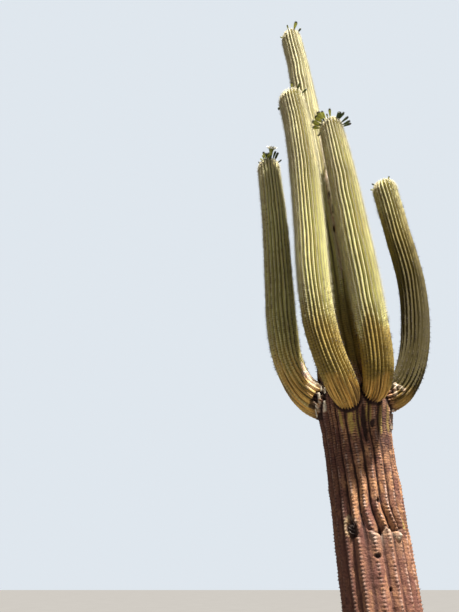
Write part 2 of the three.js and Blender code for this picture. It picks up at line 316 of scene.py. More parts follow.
# Where the grooves have split: from the share of the way to the valley, and between which heights
SPLIT_GAP = (0.72, 1.0)
SPLIT_HEIGHTS = (1.95, 2.15)
# How far a knob of the bark reaches along its rib and across it, and where the cracks grow to full depth
KNOB_ALONG = 0.55
KNOB_ACROSS = 0.30
CRACK_HEIGHTS = (2.2, 2.5)
# Lumps of the bark: share of the relief, size of a lump in x, y and z, and layer of noise
BARK_LUMPS = ((0.7, (0.045, 0.045, 0.13), 7), (0.45, (0.018, 0.018, 0.03), 8))
# How far the areoles of a rib stray along it, as a share of their distance
AREOLE_STRAY = 0.25

# Seeds of the noises and of the random choices
MARK_NOISE = 41
JOINT_NOISE = 43
CREVICE_NOISE = 45
PLATE_NOISES = (51, 52, 53)
THINNING_NOISE = 61
PAD_CHOICES = 5
STAMEN_CHOICES = 17
SCAR_CHOICES = 29

# Flower buds, by the rule of the solids: count, sector of bearings, tilts from the tip, lengths in mm
# and half thickness as a share of the length
BUD_SUNK = 0.030
BUD_STRAY = (0.2, 0.8)
BUDS = {
    "trunk": [
        (1, (-70, -62), (46, 50), (100, 110), 0.20),
        (1, (-42, -34), (58, 62), (70, 80), 0.17),
        (1, (242, 250), (43, 47), (60, 70), 0.15),
        (1, (190, 198), (76, 80), (40, 50), 0.16),
        (4, (0, 170), (20, 50), (60, 90), 0.14),
    ],
    "front_left": [
        (1, (-94, -86), (43, 47), (60, 70), 0.14),
        (1, (-70, -62), (64, 68), (75, 85), 0.14),
        (1, (-42, -34), (72, 76), (65, 75), 0.13),
        (3, (146, 160), (70, 90), (28, 38), 0.20),
        (4, (10, 140), (20, 50), (60, 90), 0.14),
    ],
    "front_right": [
        (7, (158, 232), (42, 62), (85, 125), 0.17),
        (1, (150, 158), (84, 88), (35, 45), 0.20),
        (1, (238, 246), (46, 50), (35, 45), 0.18),
        (1, (258, 266), (46, 50), (80, 90), 0.14),
        (5, (-68, -46), (56, 70), (60, 105), 0.13),
        (3, (-42, -14), (68, 86), (80, 110), 0.12),
        (4, (20, 140), (25, 60), (70, 100), 0.14),
    ],
    "left": [
        (5, (-62, -36), (40, 56), (60, 105), 0.12),
        (1, (-34, -26), (66, 70), (60, 70), 0.13),
        (7, (232, 276), (26, 56), (50, 90), 0.14),
        (3, (165, 225), (20, 45), (30, 60), 0.16),
        (5, (0, 150), (20, 45), (60, 95), 0.14),
    ],
    "right": [
        (1, (178, 186), (46, 50), (35, 45), 0.18),
        (1, (146, 154), (50, 54), (40, 50), 0.17),
        (1, (-74, -66), (43, 47), (30, 40), 0.20),
        (1, (-82, -74), (8, 12), (30, 40), 0.18),
        (3, (10, 130), (20, 50), (50, 80), 0.15),
    ],
}
FLOWER = {"limb": "left", "bearing": 282, "tilt": 42, "length": 0.125}

# The camera: its place, its tilt above the horizon, and its lens on a 36 mm sensor
CAMERA_PLACE = (-1.105, -4.0, 1.6)
CAMERA_TILT = 30.6
CAMERA_LENS = 27.06
SENSOR = 36.0


class SaguaroSizes(bpy.types.PropertyGroup):
    """Sizes of the details"""

    areole_pitch: FloatProperty(
        name="Areole pitch", description="Distance between two clusters of spines along a rib",
        default=0.024, unit="LENGTH")
    spine_length: FloatProperty(
        name="Spine length", description="Length of a middling spine on the arms",
        default=0.024, unit="LENGTH")
    spine_width: FloatProperty(
        name="Spine width", description="Thickness of a spine at its root",
        default=0.0021, unit="LENGTH")
    spines_per_areole: IntProperty(
        name="Spines per areole", description="Number of spines in one cluster",
        default=11)
    pad_width: FloatProperty(
        name="Pad width", description="Width of the felt pad that a cluster stands on",
        default=0.010, unit="LENGTH")
    bark_relief: FloatProperty(
        name="Bark relief", description="Height of the lumps of the corky bark",
        default=0.006, unit="LENGTH")
    bark_knob: FloatProperty(
        name="Bark knob", description="Height of the knob that each areole of the bark stands on",
        default=0.005, unit="LENGTH")
    bark_crack: FloatProperty(
        name="Bark crack", description="Depth of the cracks that run across the ribs of the bark",
        default=0.0040, unit="LENGTH")
    crack_pitch: FloatProperty(
        name="Crack pitch", description="Distance between two cracks across the bark",
        default=0.019, unit="LENGTH")


def colour(name, description, default):
    """A colour that the user can change."""
    return FloatVectorProperty(name=name, description=description, subtype="COLOR", default=default)


class SaguaroColours(bpy.types.PropertyGroup):
    """Colours of the plant"""

    skin: colour("Skin", "Yellow-green of the ribs", (0.70, 0.68, 0.25))
    skin_olive: colour("Olive skin", "Darker green in patches", (0.51, 0.49, 0.17))
    frost: colour("Frost", "Pinkish cream that young spines lend to the tops", (0.62, 0.52, 0.37))
    # Brown of the real flecks of the skin, and painted shade on the side away from the sun
    skin_brown_and_shade: colour("Brown skin", "Brown stains on the side away from the sun", (0.24, 0.14, 0.09))
    # Dark olive of older skin high on the limbs, partly painted shade
    skin_shaded: colour("Dull skin", "Deep olive of old skin above the elbows", (0.24, 0.19, 0.055))
    skin_aged: colour("Aged skin", "Golden olive of the low parts of the arms", (0.32, 0.225, 0.055))
    # Darkest olive-brown of old skin, used mostly as painted shade on the right arm, the low front right arm
    # and the trunk between the arms
    skin_old_and_shade: colour("Old skin", "Olive-brown of the right arm", (0.056, 0.043, 0.010))
    crest: colour("Crest", "Dry pale line along the crest of a rib", (0.84, 0.81, 0.55))
    # Painted shade at the bottom of a groove between two ribs and in the notches between areoles
    valley: colour("Valley", "Bottom of a groove between two ribs", (0.070, 0.056, 0.020))
    dry: colour("Dry skin", "Orange-brown skin under the bends of the arms", (0.70, 0.43, 0.12))
    grass: colour("Green patch", "Yellow-green strips in the bark below the arms", (0.44, 0.32, 0.09))
    bark: colour("Bark", "Red-brown of the corky bark", (0.17, 0.075, 0.058))
    # Dark red-brown of the bark's mottling, and painted shade on the side away from the sun
    bark_mottle_and_shade: colour(
        "Sunless bark", "Dark red-brown of the side away from the sun", (0.085, 0.034, 0.028))
    bark_tan: colour("Tan bark", "Orange-tan of the weathered bark", (0.56, 0.30, 0.15))
    bark_grey: colour("Grey bark", "Pinkish grey of the crests of the bark", (0.56, 0.39, 0.32))
    # Dark of the bark's cracks, scars and burnt streaks, and painted shade in grooves, hollows, folds and
    # crevices
    bark_dark_and_shade: colour("Dark bark", "Grooves, cracks and scars of the bark", (0.038, 0.020, 0.017))
    plate: colour("Plate", "Pale corky plates beside the arms", (0.80, 0.70, 0.54))
    spine: colour("Spine", "Straw-coloured spines of the arms", (0.60, 0.55, 0.35))
    spine_grey: colour("Grey spine", "Weathered spines of the trunk", (0.50, 0.40, 0.35))
    spine_dark: colour("Dark spine", "Old blackened spines", (0.06, 0.040, 0.036))
    bristle: colour("Bristle", "Young pale spines of the crowns", (0.58, 0.53, 0.37))
    pad: colour("Pad", "Felt of the pads under the spines", (0.34, 0.28, 0.17))
    bud: colour("Bud", "Green of the flower buds", (0.065, 0.095, 0.024))
    bud_scale: colour("Bud scale", "Scales of the flower buds", (0.56, 0.58, 0.12))
    bud_tip: colour("Bud tip", "Dark tips of the buds", (0.055, 0.050, 0.025))
    petal: colour("Petal", "Waxy white of the petals", (0.95, 0.95, 0.88))
    stamen: colour("Stamen", "Yellow of the stamens", (0.80, 0.62, 0.20))


# Curves and noise


def span_at(points, t):
    """The span of a curve that t falls in, from 0 to 1, and how far along that span it is."""
    spans = len(points) - 1
    index = min(int(spans * t), spans - 1)
    return index, spans * t - index


def centripetal_point(points, t):
    """A point of the smooth axis through the stations, at t from 0 to 1."""
    index, share = span_at(points, t)
    here, there = points[index], points[index + 1]
    before = points[index - 1] if index > 0 else 2 * points[0] - points[1]
    after = points[index + 2] if index + 2 < len(points) else 2 * points[-1] - points[-2]
    first = np.linalg.norm(here - before) ** 0.5
    middle = np.linalg.norm(there - here) ** 0.5
    last = np.linalg.norm(after - there) ** 0.5
    ahead = (there - here) / middle
    start = ((here - before) / first - (there - before) / (first + middle) + ahead) * middle
    end = (ahead - (after - here) / (middle + last) + (after - there) / last) * middle
    return hermite(here, there, start, end, share)


def spline_point(points, t):
    """A point of the even spline through the girths, at t from 0 to 1."""
    index, share = span_at(points, t)
    here, there = points[index], points[index + 1]
    start = (there - points[max(index - 1, 0)]) / 2
    end = (points[min(index + 2, len(points) - 1)] - here) / 2
    return hermite(here, there, start, end, share)


def hermite(here, there, start, end, share):
    """A point between two others, with the directions in which the curve leaves and arrives."""
    cubic = (2 * here - 2 * there + start + end) * share**3
    square = (-3 * here + 3 * there - 2 * start - end) * share**2
    return cubic + square + start * share + here


def rows_at(place, places, rows):
    """Rows of a table, interpolated at each place."""
    return np.stack([np.interp(place, places, column) for column in rows.T], axis=1)


def unit(vectors):
    """The vectors at a length of one."""
    return vectors / np.linalg.norm(vectors, axis=-1, keepdims=True)


UP = np.array([0.0, 0.0, 1.0])


def spoke(turn):
    """The level direction at an angle from +X."""
    return np.array([math.cos(turn), math.sin(turn), 0.0])


def smooth_step(low, high, value):
    """0 where the value is at low, 1 where it is at high, and smooth between; low may be the larger."""
    share = np.clip((value - low) / (high - low), 0, 1)
    return share * share * (3 - 2 * share)


# Factors that scatter the cells of the noise
HASH_X = 73856093
HASH_Y = 19349663
HASH_Z = 83492791
HASH_SEED = 265443576
HASH_MIX = 1274126177
HASH_BITS = 0xFFFFFFFF


def cell_values(cells, seed):
    """A repeatable value from -1 to 1 for each whole-numbered cell."""
    mixed = (cells[:, 0] * HASH_X) ^ (cells[:, 1] * HASH_Y) ^ (cells[:, 2] * HASH_Z) ^ (seed * HASH_SEED)
    mixed &= HASH_BITS
    mixed = ((mixed ^ (mixed >> 13)) * HASH_MIX) & HASH_BITS
    mixed ^= mixed >> 16
    return (mixed & 0xFFFF) / 32767.5 - 1


def noise(points, cell, seed=0):
    """Smooth repeatable noise from -1 to 1 with lumps of about that size; cell may differ by axis."""
    scaled = np.asarray(points, float) / cell
    low = np.floor(scaled).astype(np.int64)
    share = scaled - low
    share = share * share * (3 - 2 * share)
    total = np.zeros(len(scaled))
    for corner in range(8):
        step = np.array([corner & 1, corner >> 1 & 1, corner >> 2 & 1])
        weight = np.prod(np.where(step, share, 1 - share), axis=1)
        total += weight * cell_values(low + step, seed)
    return total


def seeded_numbers(seed):
    """The stream of numbers from 0 to 1 that also places the buds of the solids."""
    state = seed
    while True:
        state = (state * 1664525 + 1013904223) % 2**32
        yield state / 2**32


# Limbs


class Limb:
    """The form of one limb: its axis, frames, girth, dome, ribs and relief."""

    def __init__(self, name, seed, ribs, dome, aged, stations, elbow_top=0, dried=None):
        self.seed = seed
        self.ribs = ribs
        self.aged = aged
        self.dried = dried
        self.is_trunk = name == "trunk"
        table = np.array(stations, float)
        times = np.linspace(0, 1, ROUTE_SAMPLES + 1)
        points = np.array([centripetal_point(table[:, :3], t) for t in times])
        travelled = np.append(0, np.cumsum(np.linalg.norm(np.diff(points, axis=0), axis=1)))
        self.length = travelled[-1]
        self.runs = np.linspace(0, self.length, ROUTE_SAMPLES + 1)
        even = np.interp(self.runs, travelled, times)
        self.centres = np.array([centripetal_point(table[:, :3], t) for t in even])
        self.girths = np.array([spline_point(table[:, 3:], t) for t in even])
        self.tangents = unit(np.gradient(self.centres, axis=0))
        self.normals = self.carried_normals()
        swing = np.linspace(0, math.pi / 2, DOME_SAMPLES)
        rise = np.sin(swing)
        share = np.clip(1 - rise**DOME_BLUNTNESS, 0, 1) ** (1 / DOME_BLUNTNESS)
        self.dome = dome
        self.dome_lift = dome * rise
        self.dome_share = share
        radius = self.girths[-1, 0] * share
        self.over = np.append(0, np.cumsum(np.hypot(np.diff(self.dome_lift), np.diff(radius))))
        slopes = np.stack([np.gradient(self.dome_lift, self.over), -np.gradient(radius, self.over)], axis=1)
        slopes[0] = (1, 0)
        self.slopes = unit(slopes)
        self.reach = self.length + self.over[-1]
        self.parting = self.runs[np.argmax(self.centres[:, 2] > elbow_top)]

    def own_noise(self, points, cell, layer):
        """Noise that is this limb's own, and another one in each layer."""
        return noise(points, cell, self.seed + layer)

    def carried_normals(self):
        """Normals that turn no more than the axis does, from the direction nearest to square."""
        first = self.tangents[0]
        steepness = np.abs(first)
        helper = np.zeros(3)
        helper[2 - int(np.argmin(steepness[::-1]))] = 1
        side = unit(np.cross(first, helper))
        normals = [np.cross(first, side)]
        for before, after in zip(self.tangents[:-1], self.tangents[1:]):
            carried = normals[-1]
            pivot = np.cross(before, after)
            size = np.linalg.norm(pivot)
            if size > 1e-9:
                pivot /= size
                angle = math.acos(np.clip(before @ after, -1, 1))
                carried = (
                    carried * math.cos(angle)
                    + np.cross(pivot, carried) * math.sin(angle)
                    + pivot * (pivot @ carried) * (1 - math.cos(angle))
                )
            normals.append(carried)
        return np.array(normals)

    def frames(self, run):
        """Centre, normal, binormal, tangent, radius, depth and slopes at each run along the limb."""
        shaft = np.minimum(run, self.length)
        over = np.maximum(run - self.length, 0)
        tangent = unit(rows_at(shaft, self.runs, self.tangents))
        normal = rows_at(shaft, self.runs, self.normals)
        normal = unit(normal - tangent * np.sum(normal * tangent, axis=1, keepdims=True))
        binormal = np.cross(tangent, normal)
        share = np.interp(over, self.over, self.dome_share)
        girth = rows_at(shaft, self.runs, self.girths) * share[:, None]
        lift = np.interp(over, self.over, self.dome_lift)
        centre = rows_at(shaft, self.runs, self.centres) + tangent * lift[:, None]
        slopes = unit(rows_at(over, self.over, self.slopes))
        return centre, normal, binormal, tangent, girth[:, 0], girth[:, 1], slopes

    def skin(self, run, turn):
        """The finished skin at each run and turn, where the turn counts ribs.

        It gives points, marks, the distance from the crest as a share, the age, dryness and lack of
        sun, directions outwards, and places on the limb as if it were straight.
        """
        centre, normal, binormal, tangent, radius, depth, slopes = self.frames(run)
        angle = turn * 2 * math.pi / self.ribs
        round_trip = np.stack([np.cos(angle), np.sin(angle), run / ROUND_TRIP], axis=1)
        depth = depth * (1 + DEPTH_VARIATION * self.own_noise(round_trip, 0.8, 1))
        crest_gap = 2 * np.abs(turn - np.round(turn))
        wrap = np.stack([np.cos(angle), np.sin(angle), run], axis=1)
        if not self.is_trunk:
            depth = depth * ARM_RIB_DEPTH
        else:
            bearing = np.degrees(angle + 1.5 * math.pi) % 360 - 180
            bearing += self.swing(bearing, run)
            angle = np.radians(bearing) + math.pi / 2
            parted = self.parted(run, turn)
            crest_gap = crest_gap + parted * (np.abs(2 * crest_gap - 1) - crest_gap)
            depth = depth * self.valley_depth(run, turn, bearing) * (1 - (1 - PARTED_DEPTH) * parted)
        angle = angle + RIB_WANDER * (2 * math.pi / self.ribs) * self.own_noise(round_trip, 0.45, 0)
        radial = normal * np.cos(angle)[:, None] + binormal * np.sin(angle)[:, None]
        cork = self.cork(run, centre, angle)
        hollow = crest_gap ** RIB_ROUNDNESS
        swell = 1 + GIRTH_SWELL * self.own_noise(np.stack([run, 0 * run, 0 * run], axis=1), 0.21, 2)
        point = centre + radial * (radius * swell - depth * hollow)[:, None]
        push, marks = self.relief(point, run, turn, crest_gap, cork)
        outward = radial * slopes[:, :1] + tangent * slopes[:, 1:]
        point = point + outward * push[:, None]
        return point, marks, crest_gap, self.wear(point, radial), outward, wrap

    def wear(self, point, radial):
        """Age, dryness and lack of sun at each point, in three columns; lack of sun says where shade is
        painted.
        """
        young, old, most = self.aged
        height = point[:, 2]
        age = most * smooth_step(young, old, height + 0.15 * self.own_noise(point, (0.06, 0.06, 0.30), 11))
        dry = np.zeros(len(point))
        if self.dried:
            ragged = height + 0.05 * self.own_noise(point, (0.05, 0.05, 0.12), 12)
            dry = smooth_step(*self.dried, ragged)
        bearing = np.degrees(np.arctan2(radial[:, 1], radial[:, 0]))
        from_sun = np.abs((bearing + SUNNY_BEARING + 180) % 360 - 180)
        ragged = from_sun + 10 * self.own_noise(point, (0.05, 0.05, 0.25), 13)
        return np.stack([age, dry, smooth_step(*SUNLESS_FROM, ragged)], axis=1)

    def cork(self, run, centre, angle):
        """How far the skin has turned to cork: all of it low on the trunk and at the arms' roots."""
        around = np.stack([2 * np.cos(angle), 2 * np.sin(angle), 4 * run], axis=1)
        ragged = self.own_noise(around, 0.7, 3)
        if self.is_trunk:
            return smooth_step(*TRUNK_CORK, centre[:, 2] + 0.16 * ragged)
        return smooth_step(*ROOT_CORK, run + 0.04 * ragged)

    def swing(self, bearing, height):
        """How far the ribs of the trunk swing to the right below the ledge, in degrees."""
        front = smooth_step(*SWING_LEFT, bearing) * smooth_step(*SWING_RIGHT, bearing)
        return SWING * front * smooth_step(*SWING_HEIGHTS, height)

    def from_back(self, turn):
        """The turn in ribs, counted both ways from the middle of the trunk's back."""
        return (turn + self.ribs / 2) % self.ribs - self.ribs / 2

    def parted(self, height, turn):
        """How far a rib of the trunk has parted into two, in the stretch below the arms."""
        stretch = smooth_step(*PARTED_FOOT, height) * smooth_step(*FORK_TOP, height)
        return np.isin(np.round(self.from_back(turn)), PARTED_RIBS) * stretch

    def valley_depth(self, height, turn, bearing):
        """Share of the full depth that each valley of the trunk keeps."""
        centred = self.from_back(turn)
        line = np.interp(bearing, *zip(*LEDGE_LINE))
        kept = np.ones(len(height))
        for valley, (share, softness) in SHALLOW_VALLEYS.items():
            near = np.clip(1 - np.abs(centred - valley) * 2, 0, 1) ** 0.5
            kept -= (1 - share) * near * smooth_step(line + softness, line - softness, height)
        fork = smooth_step(*FORK_FOOT, height) * smooth_step(*FORK_TOP, height)
        return kept * (1 - FORK_FLATNESS * fork)

    def beat(self, run, turn):
        """Steps from areole to areole along a rib: a whole number stands for an areole."""
        crest = np.round(turn) % self.ribs
        phase = cell_values(np.stack([crest, 0 * turn, 0 * turn], axis=1).astype(int), self.seed)
        return run / bpy.context.scene.saguaro_sizes.areole_pitch - AREOLE_STRAY * phase

    def relief(self, point, run, turn, crest_gap, cork):
        """How far each point stands out of the smooth form, and its pale, green, dark and cork marks."""
        beat = self.beat(run, turn)
        off = np.abs(beat - np.round(beat)) * 2
        push = SKIN_LUMP * self.own_noise(point, 0.045, 4)
        push -= AREOLE_DIP * off**2 * np.clip(1 - 1.6 * crest_gap, 0, 1)
        push = (1 - cork) * push + cork * self.bark_relief(point, run, crest_gap, off)
        marks = np.zeros((len(run), 4))
        marks[:, 3] = cork
        if self.is_trunk:
            push += self.ledge(point, crest_gap, marks)
            for mark in TRUNK_MARKS.values():
                push += mark_relief(point, mark, marks)
        for mark in JOINT_MARKS.values():
            push += joint_relief(point, mark, marks)
        # Painted shade where another limb all but touches this one
        marks[:, 2] += self.crevice_shade(point) * (1 - np.clip(marks[:, 0], 0, 1))
        return push, marks

    def bark_relief(self, point, run, crest_gap, off):
        """How far corky bark stands out: a knob at each areole, cracks across, lumps and split grooves."""
        sizes = bpy.context.scene.saguaro_sizes
        height = point[:, 2]
        knob = np.exp(-((off / KNOB_ALONG) ** 2)) * np.exp(-((crest_gap / KNOB_ACROSS) ** 2))
        push = sizes.bark_knob * knob * (1 + 0.5 * self.own_noise(point, 0.06, 10))
        wavy = run + 0.006 * self.own_noise(point, 0.10, 5)
        crack = np.cos(math.pi * wavy / sizes.crack_pitch) ** 6
        crack *= 0.55 + 0.45 * self.own_noise(point, (0.11, 0.11, 0.05), 6)
        push -= sizes.bark_crack * crack * (0.35 + 0.65 * smooth_step(*CRACK_HEIGHTS, height))
        for share, cell, layer in BARK_LUMPS:
            push += sizes.bark_relief * share * self.own_noise(point, cell, layer)
        return push - BARK_SPLIT * smooth_step(*SPLIT_GAP, crest_gap) * smooth_step(*SPLIT_HEIGHTS, height)

    def crevice_shade(self, point):
        """How dark each point is painted as shade where another limb all but touches it."""
        dark = np.zeros(len(point))
        low = np.flatnonzero((point[:, 2] > CREVICE_LOW) & (point[:, 2] < CREVICE_HIGH))
        if len(low) == 0:
            return dark
        uneven = 0.006 * noise(point[low], 0.03, CREVICE_NOISE)
        others = [each for each in limbs().values() if each.is_trunk != self.is_trunk]
        for other in others:
            heights = other.centres[:, 2]
            near = np.flatnonzero((heights > CREVICE_LIMB_LOW) & (heights < CREVICE_LIMB_HIGH))
            near = near[::CREVICE_STRIDE]
            away = np.linalg.norm(point[low, None] - other.centres[None, near], axis=2)
            gap = (away - other.girths[near, 0]).min(axis=1) + uneven
            dark[low] = np.maximum(dark[low], smooth_step(CREVICE_WIDTH, 0.3 * CREVICE_WIDTH, gap))
        return dark

    def ledge(self, point, crest_gap, marks):
        """The knobbed ledge on the front of the trunk, with pale knobs below it and painted shade in the
        pits above it and in its crack.
        """
        bearing = np.degrees(np.arctan2(point[:, 1], point[:, 0]))
        (first, _), (last, _) = LEDGE_LINE[0], LEDGE_LINE[-1]
        across = smooth_step(first + 4, first + 12, bearing) * smooth_step(last, last - 14, bearing)
        line = np.interp(bearing, *zip(*LEDGE_LINE)) + 0.008 * self.own_noise(point, 0.03, 9)
        below = line - point[:, 2]
        knob = smooth_step(-0.004, 0.008, below) * np.exp(-np.clip(below, 0, None) / 0.050)
        pit = smooth_step(0.004, -0.004, below) * np.exp(np.clip(below, None, 0) / 0.060) * crest_gap
        crack = np.exp(-(((below + 0.006) / 0.006) ** 2))
        marks[:, 0] += LEDGE_PALE * across * knob * (1 - 0.5 * crest_gap)
        # Painted shade in the pits and the crack of the ledge
        marks[:, 2] += across * np.maximum(pit, 0.9 * crack)
        raised = LEDGE_KNOB * knob * (1 - 0.4 * crest_gap)
        return across * (raised - LEDGE_PIT * pit - LEDGE_CRACK * crack)


def add_tones(marks, within, pale, green, dark):
    """Adds the tones of one mark to the marks, as far as each point is within it."""
    marks[:, 0] += pale * within
    marks[:, 1] += green * within
    marks[:, 2] += dark * within


def mark_relief(point, mark, marks):
    """The push of one mark on the trunk, whose tones are added to the marks."""
    bearing, height, half_width, half_height, depth, *tones = mark
    angle = np.arctan2(point[:, 1], point[:, 0]) - math.radians(bearing)
    angle = (angle + math.pi) % (2 * math.pi) - math.pi
    across = angle * np.hypot(point[:, 0], point[:, 1]) / half_width
    along = (point[:, 2] - height) / half_height
    ragged = 0.35 * noise(point, (0.02, 0.02, 0.04), MARK_NOISE)
    within = smooth_step(1.20, 0.75, np.sqrt(across**2 + along**2) + ragged)
    add_tones(marks, within, *tones)
    return depth * within


def joint_relief(point, mark, marks):
    """The push of one mark along a line, whose tones are added to the marks."""
    start, end, half_width, depth, *tones = mark
    start = np.array(start)
    span = np.array(end) - start
    share = np.clip((point - start) @ span / (span @ span), 0, 1)
    away = np.linalg.norm(point - start - share[:, None] * span, axis=1) / half_width
    within = smooth_step(1.12, 0.88, away + 0.25 * noise(point, 0.02, JOINT_NOISE))
    add_tones(marks, within, *tones)
    return depth * within


GROWN = {}


def limbs():
    """All five limbs, grown once."""
    if not GROWN:
        for name, form in LIMBS.items():
            GROWN[name] = Limb(name, **form)
    return GROWN


# Meshes


def select_only(*pieces):
    """Leaves just these pieces selected, the last one active."""
    if bpy.context.mode != "OBJECT":
        bpy.ops.object.mode_set(mode="OBJECT")
    bpy.ops.object.select_all(action="DESELECT")
    for piece in pieces:
        piece.select_set(True)
        bpy.context.view_layer.objects.active = piece


def named(name):
    """The piece that an operator has just added, under its own name."""
    piece = bpy.context.object
    piece.name = name
    piece.data.name = name
    return piece


def joined_mesh(name, points, triangles, tones=None):
    """A new piece from arrays of points, of triangles and of the tone of each triangle."""
    mesh = bpy.data.meshes.new(name)
    mesh.vertices.add(len(points))
    mesh.vertices.foreach_set("co", points.astype(np.float32).ravel())
    mesh.loops.add(3 * len(triangles))
    mesh.loops.foreach_set("vertex_index", triangles.astype(np.int32).ravel())
    mesh.polygons.add(len(triangles))
    mesh.polygons.foreach_set("loop_start", np.arange(0, 3 * len(triangles), 3, dtype=np.int32))
    if tones is not None:
        mesh.polygons.foreach_set("material_index", tones.astype(np.int32))
    mesh.update(calc_edges=True)
    mesh.validate()
    piece = bpy.data.objects.new(name, mesh)
    bpy.context.scene.collection.objects.link(piece)
    return piece


def mesh_arrays(piece):
    """The points and the triangles of a modelled piece."""
    mesh = piece.data
    mesh.calc_loop_triangles()
    points = np.zeros(3 * len(mesh.vertices), np.float32)
    mesh.vertices.foreach_get("co", points)
    triangles = np.zeros(3 * len(mesh.loop_triangles), np.int32)
    mesh.loop_triangles.foreach_get("vertices", triangles)
    return points.reshape(-1, 3).astype(float), triangles.reshape(-1, 3)


def taken_apart(piece):
    """The arrays of a modelled pattern, which is then removed."""
    arrays = mesh_arrays(piece)
    bpy.data.objects.remove(piece)
    return arrays


def ring_body(name, sides, profile):
    """A round body modelled from a circle, extruded and resized ring by ring along +Z."""
    radius, height = profile[0]
    bpy.ops.object.select_all(action="DESELECT")
    bpy.ops.mesh.primitive_circle_add(
        vertices=sides, radius=radius, fill_type="NGON", location=(0, 0, height))
    piece = named(name)
    bpy.ops.object.mode_set(mode="EDIT")
    bpy.ops.mesh.select_all(action="SELECT")
    for next_radius, next_height in profile[1:]:
        bpy.ops.mesh.extrude_region_move(
            TRANSFORM_OT_translate={"value": (0, 0, next_height - height)})
        growth = next_radius / radius
        bpy.ops.transform.resize(value=(growth, growth, 1), center_override=(0, 0, next_height))
        radius, height = next_radius, next_height
    bpy.ops.object.mode_set(mode="OBJECT")
    bpy.ops.object.transform_apply(location=True, rotation=True, scale=True)
    return piece


def close_ends(piece):
    """Closes each open end of a tube with a flat fan of triangles to its middle, inside a sharp rim."""
    select_only(piece)
    bpy.ops.object.mode_set(mode="EDIT")
    bpy.ops.mesh.select_mode(type="VERT")
    bpy.ops.mesh.select_all(action="DESELECT")
    bpy.ops.mesh.select_non_manifold(
        extend=False, use_wire=False, use_multi_face=False, use_non_contiguous=False)
    bpy.ops.mesh.mark_sharp()
    bpy.ops.mesh.edge_face_add()
    bpy.ops.mesh.poke()
    bpy.ops.mesh.faces_shade_flat()
    bpy.ops.object.mode_set(mode="OBJECT")


LAYER_FIELDS = {"FLOAT": "value", "FLOAT_COLOR": "color", "FLOAT_VECTOR": "vector"}


def add_layer(piece, label, kind, values):
    """An attribute of a piece, with the values of all its points."""
    layer = piece.data.attributes.new(label, kind, "POINT")
    layer.data.foreach_set(LAYER_FIELDS[kind], values.astype(np.float32).ravel())


def limb_surface(name, limb, first, last, step, points_per_rib):
    """The skin of a limb between two runs: a grid wrapped round it, merged and closed."""
    rows = round((last - first) / step)
    columns = limb.ribs * points_per_rib
    bpy.ops.object.select_all(action="DESELECT")
    bpy.ops.mesh.primitive_grid_add(x_subdivisions=columns, y_subdivisions=rows, size=1)
    piece = named(name)
    flat, _ = mesh_arrays(piece)
    turn = (flat[:, 0] + 0.5) * limb.ribs
    run = first + (flat[:, 1] + 0.5) * (last - first)
    turn[turn > limb.ribs - 1e-4] = 0
    points, marks, crest_gap, wear, _, wrap = limb.skin(run, turn)
    piece.data.vertices.foreach_set("co", points.astype(np.float32).ravel())
    add_layer(piece, "marks", "FLOAT_COLOR", np.clip(marks, 0, 1))
    add_layer(piece, "wrap", "FLOAT_VECTOR", wrap)
    add_layer(piece, "crest_gap", "FLOAT", crest_gap)
    add_layer(piece, "steps", "FLOAT", limb.beat(run, turn))
    for label, values in zip(("age", "dry", "sunless"), wear.T):
        add_layer(piece, label, "FLOAT", values)
    select_only(piece)
    bpy.ops.object.mode_set(mode="EDIT")
    bpy.ops.mesh.select_all(action="SELECT")
    bpy.ops.mesh.remove_doubles(threshold=SEAM_WIDTH)
    bpy.ops.object.mode_set(mode="OBJECT")
    bpy.ops.object.shade_smooth()
    close_ends(piece)
    return piece


def copies(pattern, places, sides, ups, outs, sizes):
    """Copies of one pattern, each at its place with its own axes and size, as two arrays."""
    points, triangles = pattern
    spread = (
        points[None, :, 0, None] * sides[:, None]
        + points[None, :, 1, None] * ups[:, None]
        + points[None, :, 2, None] * outs[:, None]
    )
    placed = places[:, None] + spread * sizes[:, None, None]
    shift = np.arange(len(places))[:, None, None] * len(points)
    return placed.reshape(-1, 3), (triangles[None] + shift).reshape(-1, 3)


def one_copy(pattern, place, side, up, out, size=1.0):
    """One copy of a pattern, at its place with its own axes and size, as two arrays."""
    return copies(pattern, place[None], side[None], up[None], out[None], np.array([size]))


def merged(parts):
    """Several pairs of arrays as one."""
    points = []
    triangles = []
    count = 0
    for part_points, part_triangles in parts:
        points.append(part_points)
        triangles.append(part_triangles + count)
        count += len(part_points)
    return np.concatenate(points), np.concatenate(triangles)


def finish_piece(piece, material_names, slot, *nodes):
    """Gives a piece its materials and hides the solids that it stands for; the slot is not used."""
    for material_name in material_names:
        piece.data.materials.append(bpy.data.materials[material_name])
    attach(piece, "root")
    if nodes:
        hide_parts(*nodes)


# Materials


